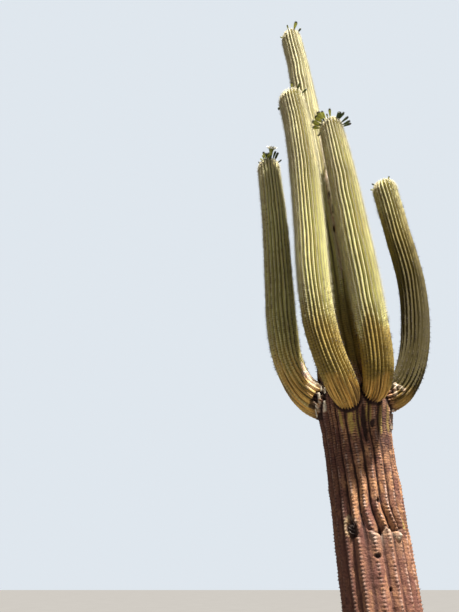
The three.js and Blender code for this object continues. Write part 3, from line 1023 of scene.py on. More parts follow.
class Shader:
    """The node tree of one material, with short names for what it is made of."""

    def __init__(self, name, roughness, specular):
        self.material = bpy.data.materials.new(name)
        self.material.use_nodes = True
        self.tree = self.material.node_tree
        self.surface = self.tree.nodes["Principled BSDF"]
        self.surface.inputs["Roughness"].default_value = roughness
        self.surface.inputs["Specular IOR Level"].default_value = specular
        self.place = self.node("ShaderNodeTexCoord").outputs["Object"]

    def node(self, kind, **settings):
        made = self.tree.nodes.new(kind)
        for key, value in settings.items():
            setattr(made, key, value)
        return made

    def link(self, value, socket):
        """Sets a socket to a number, or joins it to another node's socket."""
        if isinstance(value, bpy.types.NodeSocket):
            self.tree.links.new(value, socket)
        else:
            socket.default_value = value

    def link_colour(self, value, socket):
        self.link(value if isinstance(value, bpy.types.NodeSocket) else (*value, 1), socket)

    def noise(self, scale, detail=3.0, place=None, roughness=0.5):
        made = self.node("ShaderNodeTexNoise")
        self.link(place or self.place, made.inputs["Vector"])
        made.inputs["Scale"].default_value = scale
        made.inputs["Detail"].default_value = detail
        made.inputs["Roughness"].default_value = roughness
        return made.outputs["Fac"]

    def grain(self, across, along, detail, place=None, roughness=0.5):
        """Noise that is so many times finer across the limb and along it."""
        made = self.node("ShaderNodeMapping")
        self.link(place or self.place, made.inputs["Vector"])
        made.inputs["Scale"].default_value = (across, across, along)
        return self.noise(1.0, detail, made.outputs["Vector"], roughness)

    def ragged(self, value, amount, scale, detail):
        """A value that noise makes uneven by that amount."""
        return self.sum("MULTIPLY_ADD", self.noise(scale, detail), amount, value)

    def attribute(self, name, output="Fac"):
        made = self.node("ShaderNodeAttribute", attribute_name=name)
        return made.outputs[output]

    def sum(self, operation, first, second=0.0, third=0.0, clamp=False):
        made = self.node("ShaderNodeMath", operation=operation, use_clamp=clamp)
        for value, socket in zip((first, second, third), made.inputs):
            self.link(value, socket)
        return made.outputs[0]

    def between(self, value, low, high):
        """0 where the value is at most low, 1 where it is at least high, and smooth between."""
        made = self.node("ShaderNodeMapRange", interpolation_type="SMOOTHSTEP")
        self.link(value, made.inputs["Value"])
        made.inputs["From Min"].default_value = low
        made.inputs["From Max"].default_value = high
        return made.outputs["Result"]

    def times(self, first, second):
        return self.sum("MULTIPLY", first, second)

    def mix(self, factor, first, second, blend="MIX"):
        made = self.node("ShaderNodeMix", data_type="RGBA", blend_type=blend)
        self.link(factor, made.inputs[0])
        self.link_colour(first, made.inputs[6])
        self.link_colour(second, made.inputs[7])
        return made.outputs[2]

    def over(self, body, colour, mask, strength):
        """A body of colour with another colour laid over it, as far as mask and strength say."""
        return self.mix(self.times(mask, strength), body, colour)

    def height(self):
        axes = self.node("ShaderNodeSeparateXYZ")
        self.link(self.place, axes.inputs[0])
        return axes.outputs["Z"]

    def colour(self, value):
        self.link_colour(value, self.surface.inputs["Base Color"])

    def bump(self, height, strength, distance):
        made = self.node("ShaderNodeBump")
        made.inputs["Strength"].default_value = strength
        made.inputs["Distance"].default_value = distance
        self.link(height, made.inputs["Height"])
        self.link(made.outputs["Normal"], self.surface.inputs["Normal"])


def skin_colour(shader, colours, crest_gap, line, groove):
    """Yellow-green ribs with a pale dry crest, painted shade in the valleys, fine pale and shaded lines
    across, and painted shade on the side away from the sun.
    """
    wrap = shader.attribute("wrap", "Vector")
    height = shader.height()
    age = shader.attribute("age")
    aging = shader.sum("MULTIPLY", age, 1.0, clamp=True)
    aged_and_shaded_further = shader.sum("SUBTRACT", age, 1.0, clamp=True)
    dry = shader.attribute("dry")

    patches = shader.between(shader.noise(2.3, 4), 0.36, 0.60)
    skin = shader.mix(patches, colours.skin_olive, colours.skin)
    streaks = shader.between(shader.grain(9, 2.5, 4, wrap), 0.52, 0.70)
    skin = shader.over(skin, colours.dry, streaks, 0.36)
    skin = shader.over(skin, colours.frost, shader.between(height, 4.6, 6.2), 0.34)
    # Painted shade: the side of each limb away from the sun is painted brown and darker
    brown = shader.between(shader.grain(8, 6, 4, wrap, 0.7), 0.38, 0.56)
    brown = shader.times(brown, shader.attribute("sunless"))
    skin = shader.over(skin, colours.skin_brown_and_shade, brown, 0.62)
    flecks = shader.between(shader.grain(24, 7, 5, wrap, 0.75), 0.50, 0.64)
    skin = shader.over(skin, colours.skin_brown_and_shade, flecks, 0.42)

    # Darkening with age: partly older skin, partly painted shade on the limbs and parts that stand in shade
    aged = shader.mix(shader.between(height, 3.9, 3.3), colours.skin_shaded, colours.skin_aged)
    skin = shader.mix(aging, skin, aged)
    skin = shader.mix(aged_and_shaded_further, skin, colours.skin_old_and_shade)
    crest = shader.times(shader.between(crest_gap, 0.24, 0.02), shader.between(age, 1.15, 0.0))
    skin = shader.over(skin, colours.crest, crest, 0.80)
    # Painted shade at the bottom of each groove, weaker where the skin has darkened
    skin = shader.over(skin, colours.valley, groove, shader.sum("MULTIPLY_ADD", aging, -0.40, 0.90))
    sheen = shader.times(shader.between(line, 0.20, 0.02), shader.between(age, 1.3, 0.0))
    skin = shader.over(skin, colours.crest, sheen, 0.30)
    # Painted shadow of the spines: a dark line across each rib between the areoles
    skin = shader.over(skin, colours.valley, shader.between(line, 0.32, 0.46), 0.50)

    dry_streaks = shader.between(shader.grain(7, 5, 3, wrap), 0.30, 0.55)
    skin = shader.over(skin, colours.dry, dry, dry_streaks)
    burnt = shader.between(shader.grain(17, 3.5, 3, wrap), 0.47, 0.56)
    burnt = shader.times(burnt, shader.between(dry, 0.40, 0.95))
    return shader.over(skin, colours.bark_dark_and_shade, burnt, 0.70)


def bark_colour(shader, colours, crest_gap, line):
    """Red-brown bark with tan flanks, pinkish crests and dark cracks, with painted shade in the valleys,
    under the knobs and on the side away from the sun, and the cracks alone.
    """
    height = shader.height()
    lumps = shader.between(shader.grain(9, 5, 5, roughness=0.65), 0.36, 0.62)
    bark = shader.mix(lumps, colours.bark, colours.bark_tan)
    streaks = shader.between(shader.grain(60, 9, 4, roughness=0.6), 0.40, 0.70)
    bark = shader.over(bark, colours.bark, streaks, 0.55)
    stains = shader.between(shader.noise(5.5, 3, roughness=0.6), 0.44, 0.60)
    bark = shader.over(bark, colours.bark, stains, 0.45)
    mottle = shader.between(shader.noise(44, 4, roughness=0.7), 0.46, 0.62)
    bark = shader.over(bark, colours.bark_mottle_and_shade, mottle, 0.62)

    ragged_gap = shader.ragged(crest_gap, 0.45, 26, 3)
    bare = shader.between(shader.noise(3.2, 2), 0.36, 0.56)
    worn = shader.between(shader.noise(19, 3), 0.40, 0.62)
    worn = shader.times(worn, shader.sum("MULTIPLY_ADD", bare, 0.55, 0.35))
    bark = shader.over(bark, colours.bark_grey, shader.between(ragged_gap, 0.54, 0.22), worn)
    # Painted shade at the bottom of the bark's grooves
    bark = shader.over(bark, colours.bark_dark_and_shade, shader.between(ragged_gap, 0.88, 1.14), 0.94)
    # Painted shade: the side of the trunk away from the sun is painted dark red-brown
    bark = shader.over(bark, colours.bark_mottle_and_shade, shader.attribute("sunless"), 0.62)

    # Painted shadow: the crest is painted dark in the gaps between the knobs, where each knob's shade falls
    ragged_line = shader.ragged(line, 0.16, 60, 2)
    tick = shader.times(shader.between(ragged_line, 0.32, 0.46), shader.between(crest_gap, 0.42, 0.18))
    tick = shader.times(tick, shader.between(shader.noise(21, 2), 0.36, 0.56))
    bark = shader.over(bark, colours.bark_dark_and_shade, tick, 0.80)
    bark = shader.over(bark, colours.bark, shader.between(height, 2.0, 1.7), 0.42)

    half_pitch = bpy.context.scene.saguaro_sizes.crack_pitch / 2
    wave = shader.sum("PINGPONG", shader.ragged(height, 0.012, 7, 2), half_pitch)
    crack = shader.between(wave, 0.50 * half_pitch, 0.88 * half_pitch)
    crack = shader.times(crack, shader.between(height, 2.15, 2.50))
    crack = shader.times(crack, shader.between(shader.noise(13, 2), 0.34, 0.56))
    return shader.over(bark, colours.bark_dark_and_shade, crack, 0.75), crack


SPECKLE_DARK = (0.25, 0.22, 0.18)
SPECKLE_PALE = (0.90, 0.86, 0.78)


def skin_material(colours):
    """Ribbed skin that passes into corky bark where the marks say so."""
    shader = Shader("saguaro_skin", roughness=0.68, specular=0.15)
    crest_gap = shader.attribute("crest_gap")
    cork = shader.attribute("marks", "Alpha")
    tones = shader.node("ShaderNodeSeparateColor")
    shader.link(shader.attribute("marks", "Color"), tones.inputs["Color"])
    pale, green, dark = (tones.outputs[channel] for channel in ("Red", "Green", "Blue"))
    line = shader.sum("PINGPONG", shader.attribute("steps"), 0.5)
    groove = shader.between(crest_gap, 0.54, 0.94)

    skin = skin_colour(shader, colours, crest_gap, line, groove)
    bark, crack = bark_colour(shader, colours, crest_gap, line)
    body = shader.mix(cork, skin, bark)
    # Painted shade in the grooves of the green strips
    grass = shader.mix(groove, colours.grass, colours.bark_dark_and_shade)
    grass = shader.over(grass, colours.bark, crack, 0.6)
    body = shader.mix(green, body, grass)
    flakes = shader.between(shader.grain(50, 22, 3), 0.38, 0.58)
    plate = shader.mix(flakes, colours.bark_grey, colours.plate)
    body = shader.mix(pale, body, plate)
    # The dark marks: painted shade in hollows, folds and crevices, and the scars' own dark
    body = shader.mix(dark, body, colours.bark_dark_and_shade)
    speckle = shader.between(shader.noise(62, 4, roughness=0.8), 0.36, 0.64)
    body = shader.mix(0.30, body, shader.mix(speckle, SPECKLE_DARK, SPECKLE_PALE), "OVERLAY")
    shader.colour(body)

    coarse = shader.times(shader.noise(70, 5, roughness=0.65), cork)
    shader.bump(shader.ragged(coarse, 0.35, 190, 2), strength=0.8, distance=0.007)


def plain_material(name, colour, darker, roughness=0.6, specular=0.3, scale=40):
    """A small thing's colour, a little uneven, with a fine grain."""
    shader = Shader(name, roughness, specular)
    shade = tuple(channel * darker for channel in colour)
    grain = shader.noise(scale, 2)
    shader.colour(shader.mix(shader.between(grain, 0.35, 0.65), shade, tuple(colour)))
    shader.bump(shader.noise(scale * 6, 2), strength=0.3, distance=0.0006)


def all_materials(colours):
    """Every material of the plant."""
    skin_material(colours)
    plain_material("spine_straw", colours.spine, darker=0.80)
    plain_material("spine_grey", colours.spine_grey, darker=0.75)
    plain_material("spine_dark", colours.spine_dark, darker=0.7)
    plain_material("bristle", colours.bristle, darker=0.85)
    plain_material("pad_felt", colours.pad, darker=0.7, roughness=0.95, specular=0.1)
    plain_material("plate_bark", colours.plate, darker=0.62, roughness=0.9, specular=0.15, scale=60)
    plain_material("bud_green", colours.bud, darker=0.75, roughness=0.45, specular=0.4)
    plain_material("bud_scale", colours.bud_scale, darker=0.75, roughness=0.5)
    plain_material("bud_tip", colours.bud_tip, darker=0.7, roughness=0.6)
    plain_material("petal_white", colours.petal, darker=0.93, roughness=0.4, specular=0.4)
    plain_material("stamen_yellow", colours.stamen, darker=0.85)


class SAGUARO_OT_materials(bpy.types.Operator):
    """Mix the colours and finishes of the plant"""

    bl_idname = "saguaro.materials"
    bl_label = "Materials"

    def execute(self, context):
        all_materials(context.scene.saguaro_colours)
        return {"FINISHED"}


# Trunk and arms


class SAGUARO_OT_trunk(bpy.types.Operator):
    """Grow the trunk: corky bark below the arms and ribbed skin above them"""

    bl_idname = "saguaro.trunk"
    bl_label = "Trunk"

    def execute(self, context):
        pitch = context.scene.saguaro_sizes.areole_pitch
        limb = limbs()["trunk"]
        stretches = {
            "trunk_foot": (0, BARK_MIDDLE, pitch / 3, BARK_POINTS_PER_RIB),
            "trunk_bark": (BARK_MIDDLE, BARK_TOP, pitch / 4, BARK_POINTS_PER_RIB),
            "trunk_skin": (BARK_TOP, limb.reach, pitch / 2, SKIN_POINTS_PER_RIB),
        }
        for name, (first, last, step, points_per_rib) in stretches.items():
            piece = limb_surface(name, limb, first, last, step, points_per_rib)
            finish_piece(piece, ["saguaro_skin"], "bark", "trunk")
        return {"FINISHED"}


class SAGUARO_OT_arms(bpy.types.Operator):
    """Grow the four arms, each with the skin of its elbow and of its column"""

    bl_idname = "saguaro.arms"
    bl_label = "Arms"

    def execute(self, context):
        pitch = context.scene.saguaro_sizes.areole_pitch
        for name in ARM_NAMES:
            limb = limbs()[name]
            stretches = {
                f"arm_{name}_elbow": (0, limb.parting, pitch / 4, ARM_POINTS_PER_RIB),
                f"arm_{name}_column": (limb.parting, limb.reach, pitch / 2, ARM_POINTS_PER_RIB),
            }
            for node, (first, last, step, points_per_rib) in stretches.items():
                piece = limb_surface(f"skin_{node}", limb, first, last, step, points_per_rib)
                finish_piece(piece, ["saguaro_skin"], "skin", node)
        return {"FINISHED"}


# Spines

# Clusters: how many different ones, how much they differ in size, the share of spines that lie round
# the rim, how steep and how long those and the central ones are, and how deep they are set
CLUSTER_KINDS = 8
CLUSTER_SIZES = (0.78, 1.22)
RADIAL_SHARE = 0.75
RADIAL_LIFT = (14, 38)
RADIAL_REACH = (0.6, 1.0)
CENTRAL_LIFT = (48, 84)
CENTRAL_REACH = (0.9, 1.45)
SPINE_SUNK = 0.001

# On the crowns: how much steeper the spines are, how they lean towards the tip, how much closer the
# clusters stand, and how much smaller they become towards the tip
CROWN_LIFT = 16
RISING_LEAN = np.array([0, 0.5, 0])
DOME_PITCH_SHARE = 0.55
CROWN_SHRINKAGE = 0.45

# Old spines of the trunk: their length against the arms' and the share that is black; the heights
# where few are left; and how age thins out, darkens and shortens spines and shrinks pads
OLD_SPINE_SHARE = 0.50
OLD_DARK_SHARE = 0.5
BARE_FOOT = (0.35, 1.2)
BARE_FORK_FOOT = (2.30, 2.50)
BARE_FORK_TOP = (3.10, 2.90)
BARE_FORK = 0.65
OLD_PAD_SHARE = 0.30
OLD_PAD_HEIGHTS = (3.0, 3.6)
THINNED_BY_AGE = 0.60
DARKENED_BY_AGE = 1.15
SHORTENED_BY_AGE = 0.3
PAD_SHRUNK_BY_AGE = 0.4
# Nothing grows where a mark or the dryness of the skin is stronger than this
BARE_MARK = 0.6
BARE_DRY = 0.55

# Along a rib: the step that gives its direction, how far the crests of a parted rib stand to each
# side, and where the first and the last areoles are
CREST_STEP = 0.004
PARTED_CREST = 0.25
TRUNK_START = 0.05
ARM_SPINES_START = 0.15
ARM_SPINES_FULL = 0.35
ARM_PADS_START = 0.2
CROWN_END = 0.012

# The stout spines in the round scar, and how far its floor is from the trunk's axis
SCAR_SPINES = 34
SCAR_SPINE_LENGTH = 0.052
SCAR_SPINE_WIDTH = 0.006
SCAR_FLOOR = 0.245


def areoles(limb, first, last, pitch, chosen):
    """Places, axes, runs and ages of the chosen spine clusters along the crests between two runs."""
    runs = []
    turns = []
    for crest in range(limb.ribs):
        phase = cell_values(np.array([[crest, 0, 0]]), limb.seed)[0]
        along = np.arange(math.ceil(first / pitch), math.floor(last / pitch)) * pitch
        along = along + AREOLE_STRAY * phase * pitch
        along = along[(along > first) & (along < last)]
        runs.append(along)
        turns.append(np.full(len(along), float(crest)))
    run = np.concatenate(runs)
    turn = np.concatenate(turns)
    kept = chosen(run)
    run = run[kept]
    turn = turn[kept]
    if limb.is_trunk:
        other_side = np.where(np.arange(len(run)) % 2, PARTED_CREST, -PARTED_CREST)
        turn = turn + limb.parted(run, turn) * other_side
    place, marks, _, wear, outward, _ = limb.skin(run, turn)
    age = np.minimum(wear[:, 0], 1)
    spots = np.stack([run * 1e4, turn * 8, 0 * run], axis=1).astype(int)
    thinned = (1 + cell_values(spots, THINNING_NOISE)) / 2
    bare = (marks[:, :3].max(axis=1) >= BARE_MARK) | (wear[:, 1] >= BARE_DRY)
    kept = ~bare & (thinned > THINNED_BY_AGE * age)
    place, run, turn, outward, age = place[kept], run[kept], turn[kept], outward[kept], age[kept]
    up = limb.skin(run + CREST_STEP, turn)[0] - limb.skin(run - CREST_STEP, turn)[0]
    up = unit(up - outward * np.sum(up * outward, axis=1, keepdims=True))
    return place, np.cross(up, outward), up, outward, run, age


def old_cover(run):
    """Share of the trunk's areoles that still bear spines: few at the foot and under the arms."""
    foot = 0.20 + 0.45 * smooth_step(*BARE_FOOT, run)
    fork = smooth_step(*BARE_FORK_FOOT, run) * smooth_step(*BARE_FORK_TOP, run)
    return foot * (1 - BARE_FORK * fork)


def old_pad_cover(run):
    """Share of the trunk's areoles that still bear a pad: few below the arms, all above them."""
    return OLD_PAD_SHARE + (1 - OLD_PAD_SHARE) * smooth_step(*OLD_PAD_HEIGHTS, run)


def one_spine():
    """The pattern of a spine: a slim cone with three sides and no floor, one long and one wide."""
    bpy.ops.object.select_all(action="DESELECT")
    bpy.ops.mesh.primitive_cone_add(
        vertices=3, radius1=0.5, radius2=0, depth=1, end_fill_type="NOTHING", location=(0, 0, 0.5))
    piece = named("spine_pattern")
    bpy.ops.object.transform_apply(location=True, rotation=True, scale=True)
    return taken_apart(piece)


def spine_cluster(spine, chance, count, length, width, rising):
    """One cluster in its own axes, x across the rib, y towards the tip and z outwards."""
    parts = []
    radial_count = round(count * RADIAL_SHARE)
    for number in range(count):
        if number < radial_count:
            bearing = 2 * math.pi * (number + chance.uniform(-0.3, 0.3)) / radial_count
            lift = math.radians(chance.uniform(*RADIAL_LIFT) + rising)
            reach = length * chance.uniform(*RADIAL_REACH)
        else:
            bearing = chance.uniform(0, 2 * math.pi)
            lift = math.radians(chance.uniform(*CENTRAL_LIFT))
            reach = length * chance.uniform(*CENTRAL_REACH)
        heading = np.array([
            math.sin(bearing) * math.cos(lift),
            math.cos(bearing) * math.cos(lift),
            math.sin(lift),
        ])
        if rising:
            heading = unit(heading + RISING_LEAN)
        across = unit(np.cross(heading, [0.3, 0.1, 1.0]))
        other = np.cross(heading, across)
        parts.append(one_copy(spine, heading * -SPINE_SUNK, across * width, other * width, heading * reach))
    return merged(parts)


def spine_piece(name, limb, first, last, pitch, look):
    """All the spines between two runs of a limb, as one joined piece."""
    chance = np.random.default_rng(limb.seed + look["seed"])
    spine = one_spine()
    place, side, up, out, run, age = areoles(
        limb, first, last, pitch, lambda run: chance.random(len(run)) < look["cover"](run))
    kinds = [
        spine_cluster(spine, chance, look["count"], look["length"], look["width"], look["rising"])
        for _ in range(CLUSTER_KINDS)
    ]
    pick = chance.integers(0, CLUSTER_KINDS, len(place))
    size = chance.uniform(*CLUSTER_SIZES, len(place)) * look["shrink"](run) * (1 - SHORTENED_BY_AGE * age)
    dark = chance.random(len(place)) < np.maximum(look["dark"], DARKENED_BY_AGE * age)
    parts = []
    tones = []
    for kind, cluster in enumerate(kinds):
        for tone in (0, 1):
            chosen = (pick == kind) & (dark == tone)
            parts.append(copies(cluster, *(each[chosen] for each in (place, side, up, out, size))))
            tones.append(np.full(len(parts[-1][1]), tone))
    points, triangles = merged(parts)
    piece = joined_mesh(name, points, triangles, np.concatenate(tones))
    finish_piece(piece, look["materials"], "spines")


class SAGUARO_OT_spines(bpy.types.Operator):
    """Set the spine clusters along the crests of all ribs"""

    bl_idname = "saguaro.spines"
    bl_label = "Spines"

    def execute(self, context):
        sizes = context.scene.saguaro_sizes
        pitch = sizes.areole_pitch
        full = {
            "seed": 1,
            "count": sizes.spines_per_areole,
            "length": sizes.spine_length,
            "width": sizes.spine_width,
            "rising": 0,
            "dark": 0,
            "cover": lambda run: np.ones(len(run)),
            "shrink": lambda run: np.ones(len(run)),
            "materials": ["spine_straw", "spine_dark"],
        }
        old = {
            **full,
            "seed": 2,
            "length": OLD_SPINE_SHARE * sizes.spine_length,
            "dark": OLD_DARK_SHARE,
            "cover": old_cover,
            "shrink": lambda run: 0.85 + 0.15 * smooth_step(0.5, 1.5, run),
            "materials": ["spine_grey", "spine_dark"],
        }
        self.scar()
        trunk = limbs()["trunk"]
        parting = round(BARK_TOP / pitch) * pitch
        spine_piece("spines_trunk_bark", trunk, TRUNK_START, parting, pitch, old)
        spine_piece("spines_trunk_skin", trunk, parting, trunk.length, pitch, full)
        young = {**full, "cover": lambda run: smooth_step(ARM_SPINES_START, ARM_SPINES_FULL, run)}
        for name in ARM_NAMES:
            limb = limbs()[name]
            spine_piece(f"spines_arm_{name}", limb, ARM_SPINES_START, limb.length, pitch, young)
        for name, limb in limbs().items():
            woolly = {
                **full,
                "seed": 3,
                "count": sizes.spines_per_areole + 2,
                "rising": CROWN_LIFT,
                "shrink": lambda run, limb=limb: (
                    1.0 - CROWN_SHRINKAGE * smooth_step(limb.length, limb.reach, run)),
                "materials": ["bristle", "spine_straw"],
            }
            crown_end = limb.reach - CROWN_END
            spine_piece(f"bristles_{name}", limb, limb.length, crown_end, pitch * DOME_PITCH_SHARE, woolly)
        return {"FINISHED"}

    def scar(self):
        """The clump of stout old spines in the round scar on the trunk."""
        bearing, height, half_width, half_height, *_ = TRUNK_MARKS["spiny_scar"]
        chance = np.random.default_rng(SCAR_CHOICES)
        spine = one_spine()
        width = SCAR_SPINE_WIDTH
        outward = spoke(math.radians(bearing))
        side = np.cross(UP, outward)
        parts = []
        for _ in range(SCAR_SPINES):
            spot = chance.uniform(-0.75, 0.75, 2)
            place = outward * SCAR_FLOOR + side * spot[0] * half_width
            place[2] = height + spot[1] * half_height
            heading = unit(outward + side * chance.uniform(-0.9, 0.9) + UP * chance.uniform(-0.4, 1.1))
            first, second = axes_round(heading, chance.uniform(0, math.pi))
            reach = chance.uniform(0.6, 1.0) * SCAR_SPINE_LENGTH
            parts.append(one_copy(spine, place, first * width, second * width, heading * reach))
        points, triangles = merged(parts)
        tones = np.arange(len(triangles)) // len(spine[1]) % 2
        piece = joined_mesh("spines_scar", points, triangles, tones)
        finish_piece(piece, ["spine_grey", "spine_dark"], "spines")


class SAGUARO_OT_plates(bpy.types.Operator):
    """Set the loose plates of old bark where the side arms leave the trunk"""

    bl_idname = "saguaro.plates"
    bl_label = "Bark plates"

    def execute(self, context):
        parts = []
        for start, end, width, lean in PLATES.values():
            span = np.array(end) - np.array(start)
            length = np.linalg.norm(span)
            up = span / length
            out = np.array(lean, float)
            out = unit(out - up * (out @ up))
            side = np.cross(up, out)
            pattern = taken_apart(tongue(
                "plate_pattern", rows=6, width=width, length=length, curl=0.08,
                thickness=PLATE_THICKNESS, pointedness=0.35))
            parts.append(one_copy(pattern, np.array(start) + out * PLATE_THICKNESS, side, up, out))
        points, triangles = merged(parts)
        lumps = np.stack([noise(points, 0.02, seed) for seed in PLATE_NOISES], axis=1)
        points = points + PLATE_ROUGHNESS * lumps
        piece = joined_mesh("bark_plates", points, triangles)
        finish_piece(piece, ["plate_bark"], "bark")
        return {"FINISHED"}


class SAGUARO_OT_pads(bpy.types.Operator):
    """Set the felt pads that the spine clusters stand on"""

    bl_idname = "saguaro.pads"
    bl_label = "Areole pads"

    def execute(self, context):
        sizes = context.scene.saguaro_sizes
        pattern = taken_apart(pad_pattern())
        chance = np.random.default_rng(PAD_CHOICES)
        parts = []
        for limb in limbs().values():
            first = TRUNK_START if limb.is_trunk else ARM_PADS_START
            cover = old_pad_cover if limb.is_trunk else np.ones_like
            place, side, up, out, _, age = areoles(
                limb, first, limb.reach - CROWN_END, sizes.areole_pitch,
                lambda run: chance.random(len(run)) < cover(run))
            width = sizes.pad_width * (1 - PAD_SHRUNK_BY_AGE * age)
            parts.append(copies(pattern, place, side, up, out, width))
        points, triangles = merged(parts)
        piece = joined_mesh("areole_pads", points, triangles)
        finish_piece(piece, ["pad_felt"], "spines")
        return {"FINISHED"}


def pad_pattern():
    """A low oval cushion of felt, one wide, with six sides."""
    bpy.ops.object.select_all(action="DESELECT")
    bpy.ops.mesh.primitive_cone_add(
        vertices=6, radius1=0.5, radius2=0, depth=0.45, end_fill_type="NOTHING", location=(0, 0, 0.15))
    piece = named("pad_pattern")
    piece.scale = (0.85, 1.2, 1)
    bpy.ops.object.transform_apply(location=True, rotation=True, scale=True)
    return piece


# Buds and flower

# Radius and height of the rings of a bud of length one, from its root to its tip
BUD_PROFILE = [
    (0.062, 0.00),
    (0.060, 0.24),
    (0.064, 0.40),
    (0.078, 0.54),
    (0.098, 0.66),
    (0.110, 0.76),
    (0.104, 0.85),
    (0.082, 0.93),
    (0.045, 0.98),
    (0.010, 1.00),
]
BUD_GIRTH = 0.110
BUD_SIDES = 10
# How many buds there are for each one that opens, how slim a bud is green all over, and where the
# colour of the tip begins on buds that open and on the others
OPENING_EVERY = 9
SLIM_BUD = 0.135
OPEN_TIP = 0.93
CLOSED_TIP = 0.84
# The materials of the buds, and the number of each
BUD_MATERIALS = ["bud_green", "bud_scale", "bud_tip", "petal_white"]
GREEN_TONE, SCALE_TONE, TIP_TONE, PETAL_TONE = range(4)
# Scales: their number, the step that gives the slope of the bud under each, and how far they stand off
SCALE_ROWS = 9
SCALES_PER_ROW = 6
SCALE_STEP = 0.05
SCALE_LIFT = 0.002
# The turn from one scale, bud or stamen to the next
GOLDEN_TURN = math.radians(137.5)


def stood_on_dome(limb, bearing, tilt):
    """The root and the heading of a bud on the dome of a limb, by the rule of the solids."""
    crown = limb.tangents[-1]
    side = spoke(bearing)
    side = unit(side - crown * (side @ crown))
    rise = math.cos(tilt) ** (2 / DOME_BLUNTNESS)
    run = math.sin(tilt) ** (2 / DOME_BLUNTNESS)
    heading = crown * math.cos(tilt) + side * math.sin(tilt)
    place = limb.centres[-1] + crown * rise * limb.dome + side * run * limb.girths[-1, 0]
    return place - heading * BUD_SUNK, heading


def bud_places():
    """Root, heading, length and thickness of every bud, in the order of the solids."""
    places = []
    for name, clusters in BUDS.items():
        limb = limbs()[name]
        numbers = seeded_numbers(limb.seed)
        for count, bearings, tilts, lengths, thick in clusters:
            sector = (bearings[1] - bearings[0]) / count
            for number in range(count):
                stray = BUD_STRAY[0] + (BUD_STRAY[1] - BUD_STRAY[0]) * next(numbers)
                bearing = math.radians(bearings[0] + sector * (number + stray))
                tilt = math.radians(tilts[0] + (tilts[1] - tilts[0]) * next(numbers))
                length = (lengths[0] + (lengths[1] - lengths[0]) * next(numbers)) / 1000
                root, heading = stood_on_dome(limb, bearing, tilt)
                places.append((root, heading, length + BUD_SUNK, thick * length))
    return places


def tongue(name, rows, width, length, curl, thickness, pointedness=0.8):
    """A pointed leaf modelled from a grid: x across, y along, bowed outwards along +Z."""
    bpy.ops.object.select_all(action="DESELECT")
    bpy.ops.mesh.primitive_grid_add(x_subdivisions=2, y_subdivisions=rows, size=1)
    piece = named(name)
    points, _ = mesh_arrays(piece)
    along = points[:, 1] + 0.5
    span = width * np.sin(math.pi * (0.16 + 0.80 * along) ** 0.9) ** pointedness
    shaped = np.stack([
        points[:, 0] * span,
        along * length,
        curl * along**2 * length - 1.2 * width * points[:, 0] ** 2,
    ], axis=1)
    piece.data.vertices.foreach_set("co", shaped.astype(np.float32).ravel())
    if thickness:
        wall = piece.modifiers.new("wall", "SOLIDIFY")
        wall.thickness = thickness
        select_only(piece)
        bpy.ops.object.modifier_apply(modifier=wall.name)
    return piece


def axes_round(heading, turn):
    """Two directions square to a heading, turned round it."""
    helper = UP if abs(heading[2]) < 0.9 else spoke(0.0)
    first = unit(np.cross(heading, helper))
    second = np.cross(heading, first)
    cosine, sine = math.cos(turn), math.sin(turn)
    return first * cosine + second * sine, second * cosine - first * sine


def bud_scales(profile, first, last):
    """Scales in rows round a bud of length one, lapping towards its tip."""
    pattern = taken_apart(tongue(
        "scale_pattern", rows=2, width=0.075, length=0.16, curl=0.25, thickness=0))
    radii, heights = zip(*profile)
    parts = []
    for number in range(SCALE_ROWS * SCALES_PER_ROW):
        height = first + (last - first) * number / (SCALE_ROWS * SCALES_PER_ROW - 1)
        radius = np.interp(height, heights, radii)
        outward = spoke(number * GOLDEN_TURN)
        lean = (np.interp(height + SCALE_STEP, heights, radii) - radius) / SCALE_STEP
        up = unit(UP + outward * lean)
        out = unit(outward - UP * lean)
        place = outward * (radius + SCALE_LIFT) + UP * height
        parts.append(one_copy(pattern, place, np.cross(up, out), up, out))
    return merged(parts)


class SAGUARO_OT_buds(bpy.types.Operator):
    """Set the scaly flower buds on the crowns"""

    bl_idname = "saguaro.buds"
    bl_label = "Buds"

    def execute(self, context):
        body = taken_apart(ring_body("bud_pattern", BUD_SIDES, BUD_PROFILE))
        scales = bud_scales(BUD_PROFILE, first=0.28, last=0.88)
        parts = []
        tones = []
        for number, (root, heading, length, thick) in enumerate(bud_places()):
            girth = thick / (BUD_GIRTH * length)
            first, second = axes_round(heading, number * GOLDEN_TURN)
            opening = number % OPENING_EVERY == 1
            slim = thick < SLIM_BUD * (length - BUD_SUNK)
            body_tone = SCALE_TONE if number % 3 == 0 and not slim else GREEN_TONE
            scale_tone = GREEN_TONE if number % 4 == 1 or slim else SCALE_TONE
            tip_tone = PETAL_TONE if opening else TIP_TONE
            tip_line = OPEN_TIP if opening else CLOSED_TIP
            for tone, pattern in zip((body_tone, scale_tone), (body, scales)):
                parts.append(one_copy(pattern, root, girth * first, girth * second, heading, length))
                middle = pattern[0][pattern[1]].mean(axis=1)[:, 2]
                tones.append(np.where(middle > tip_line, tip_tone, tone))
        points, triangles = merged(parts)
        piece = joined_mesh("buds", points, triangles, np.concatenate(tones))
        finish_piece(piece, BUD_MATERIALS, "buds")
        return {"FINISHED"}


# Radius and height of the rings of the flower's tube; what follows has the flower's length as its unit
FLOWER_TUBE = [
    (0.110, 0.00),
    (0.112, 0.30),
    (0.118, 0.60),
    (0.150, 0.78),
    (0.215, 0.90),
]
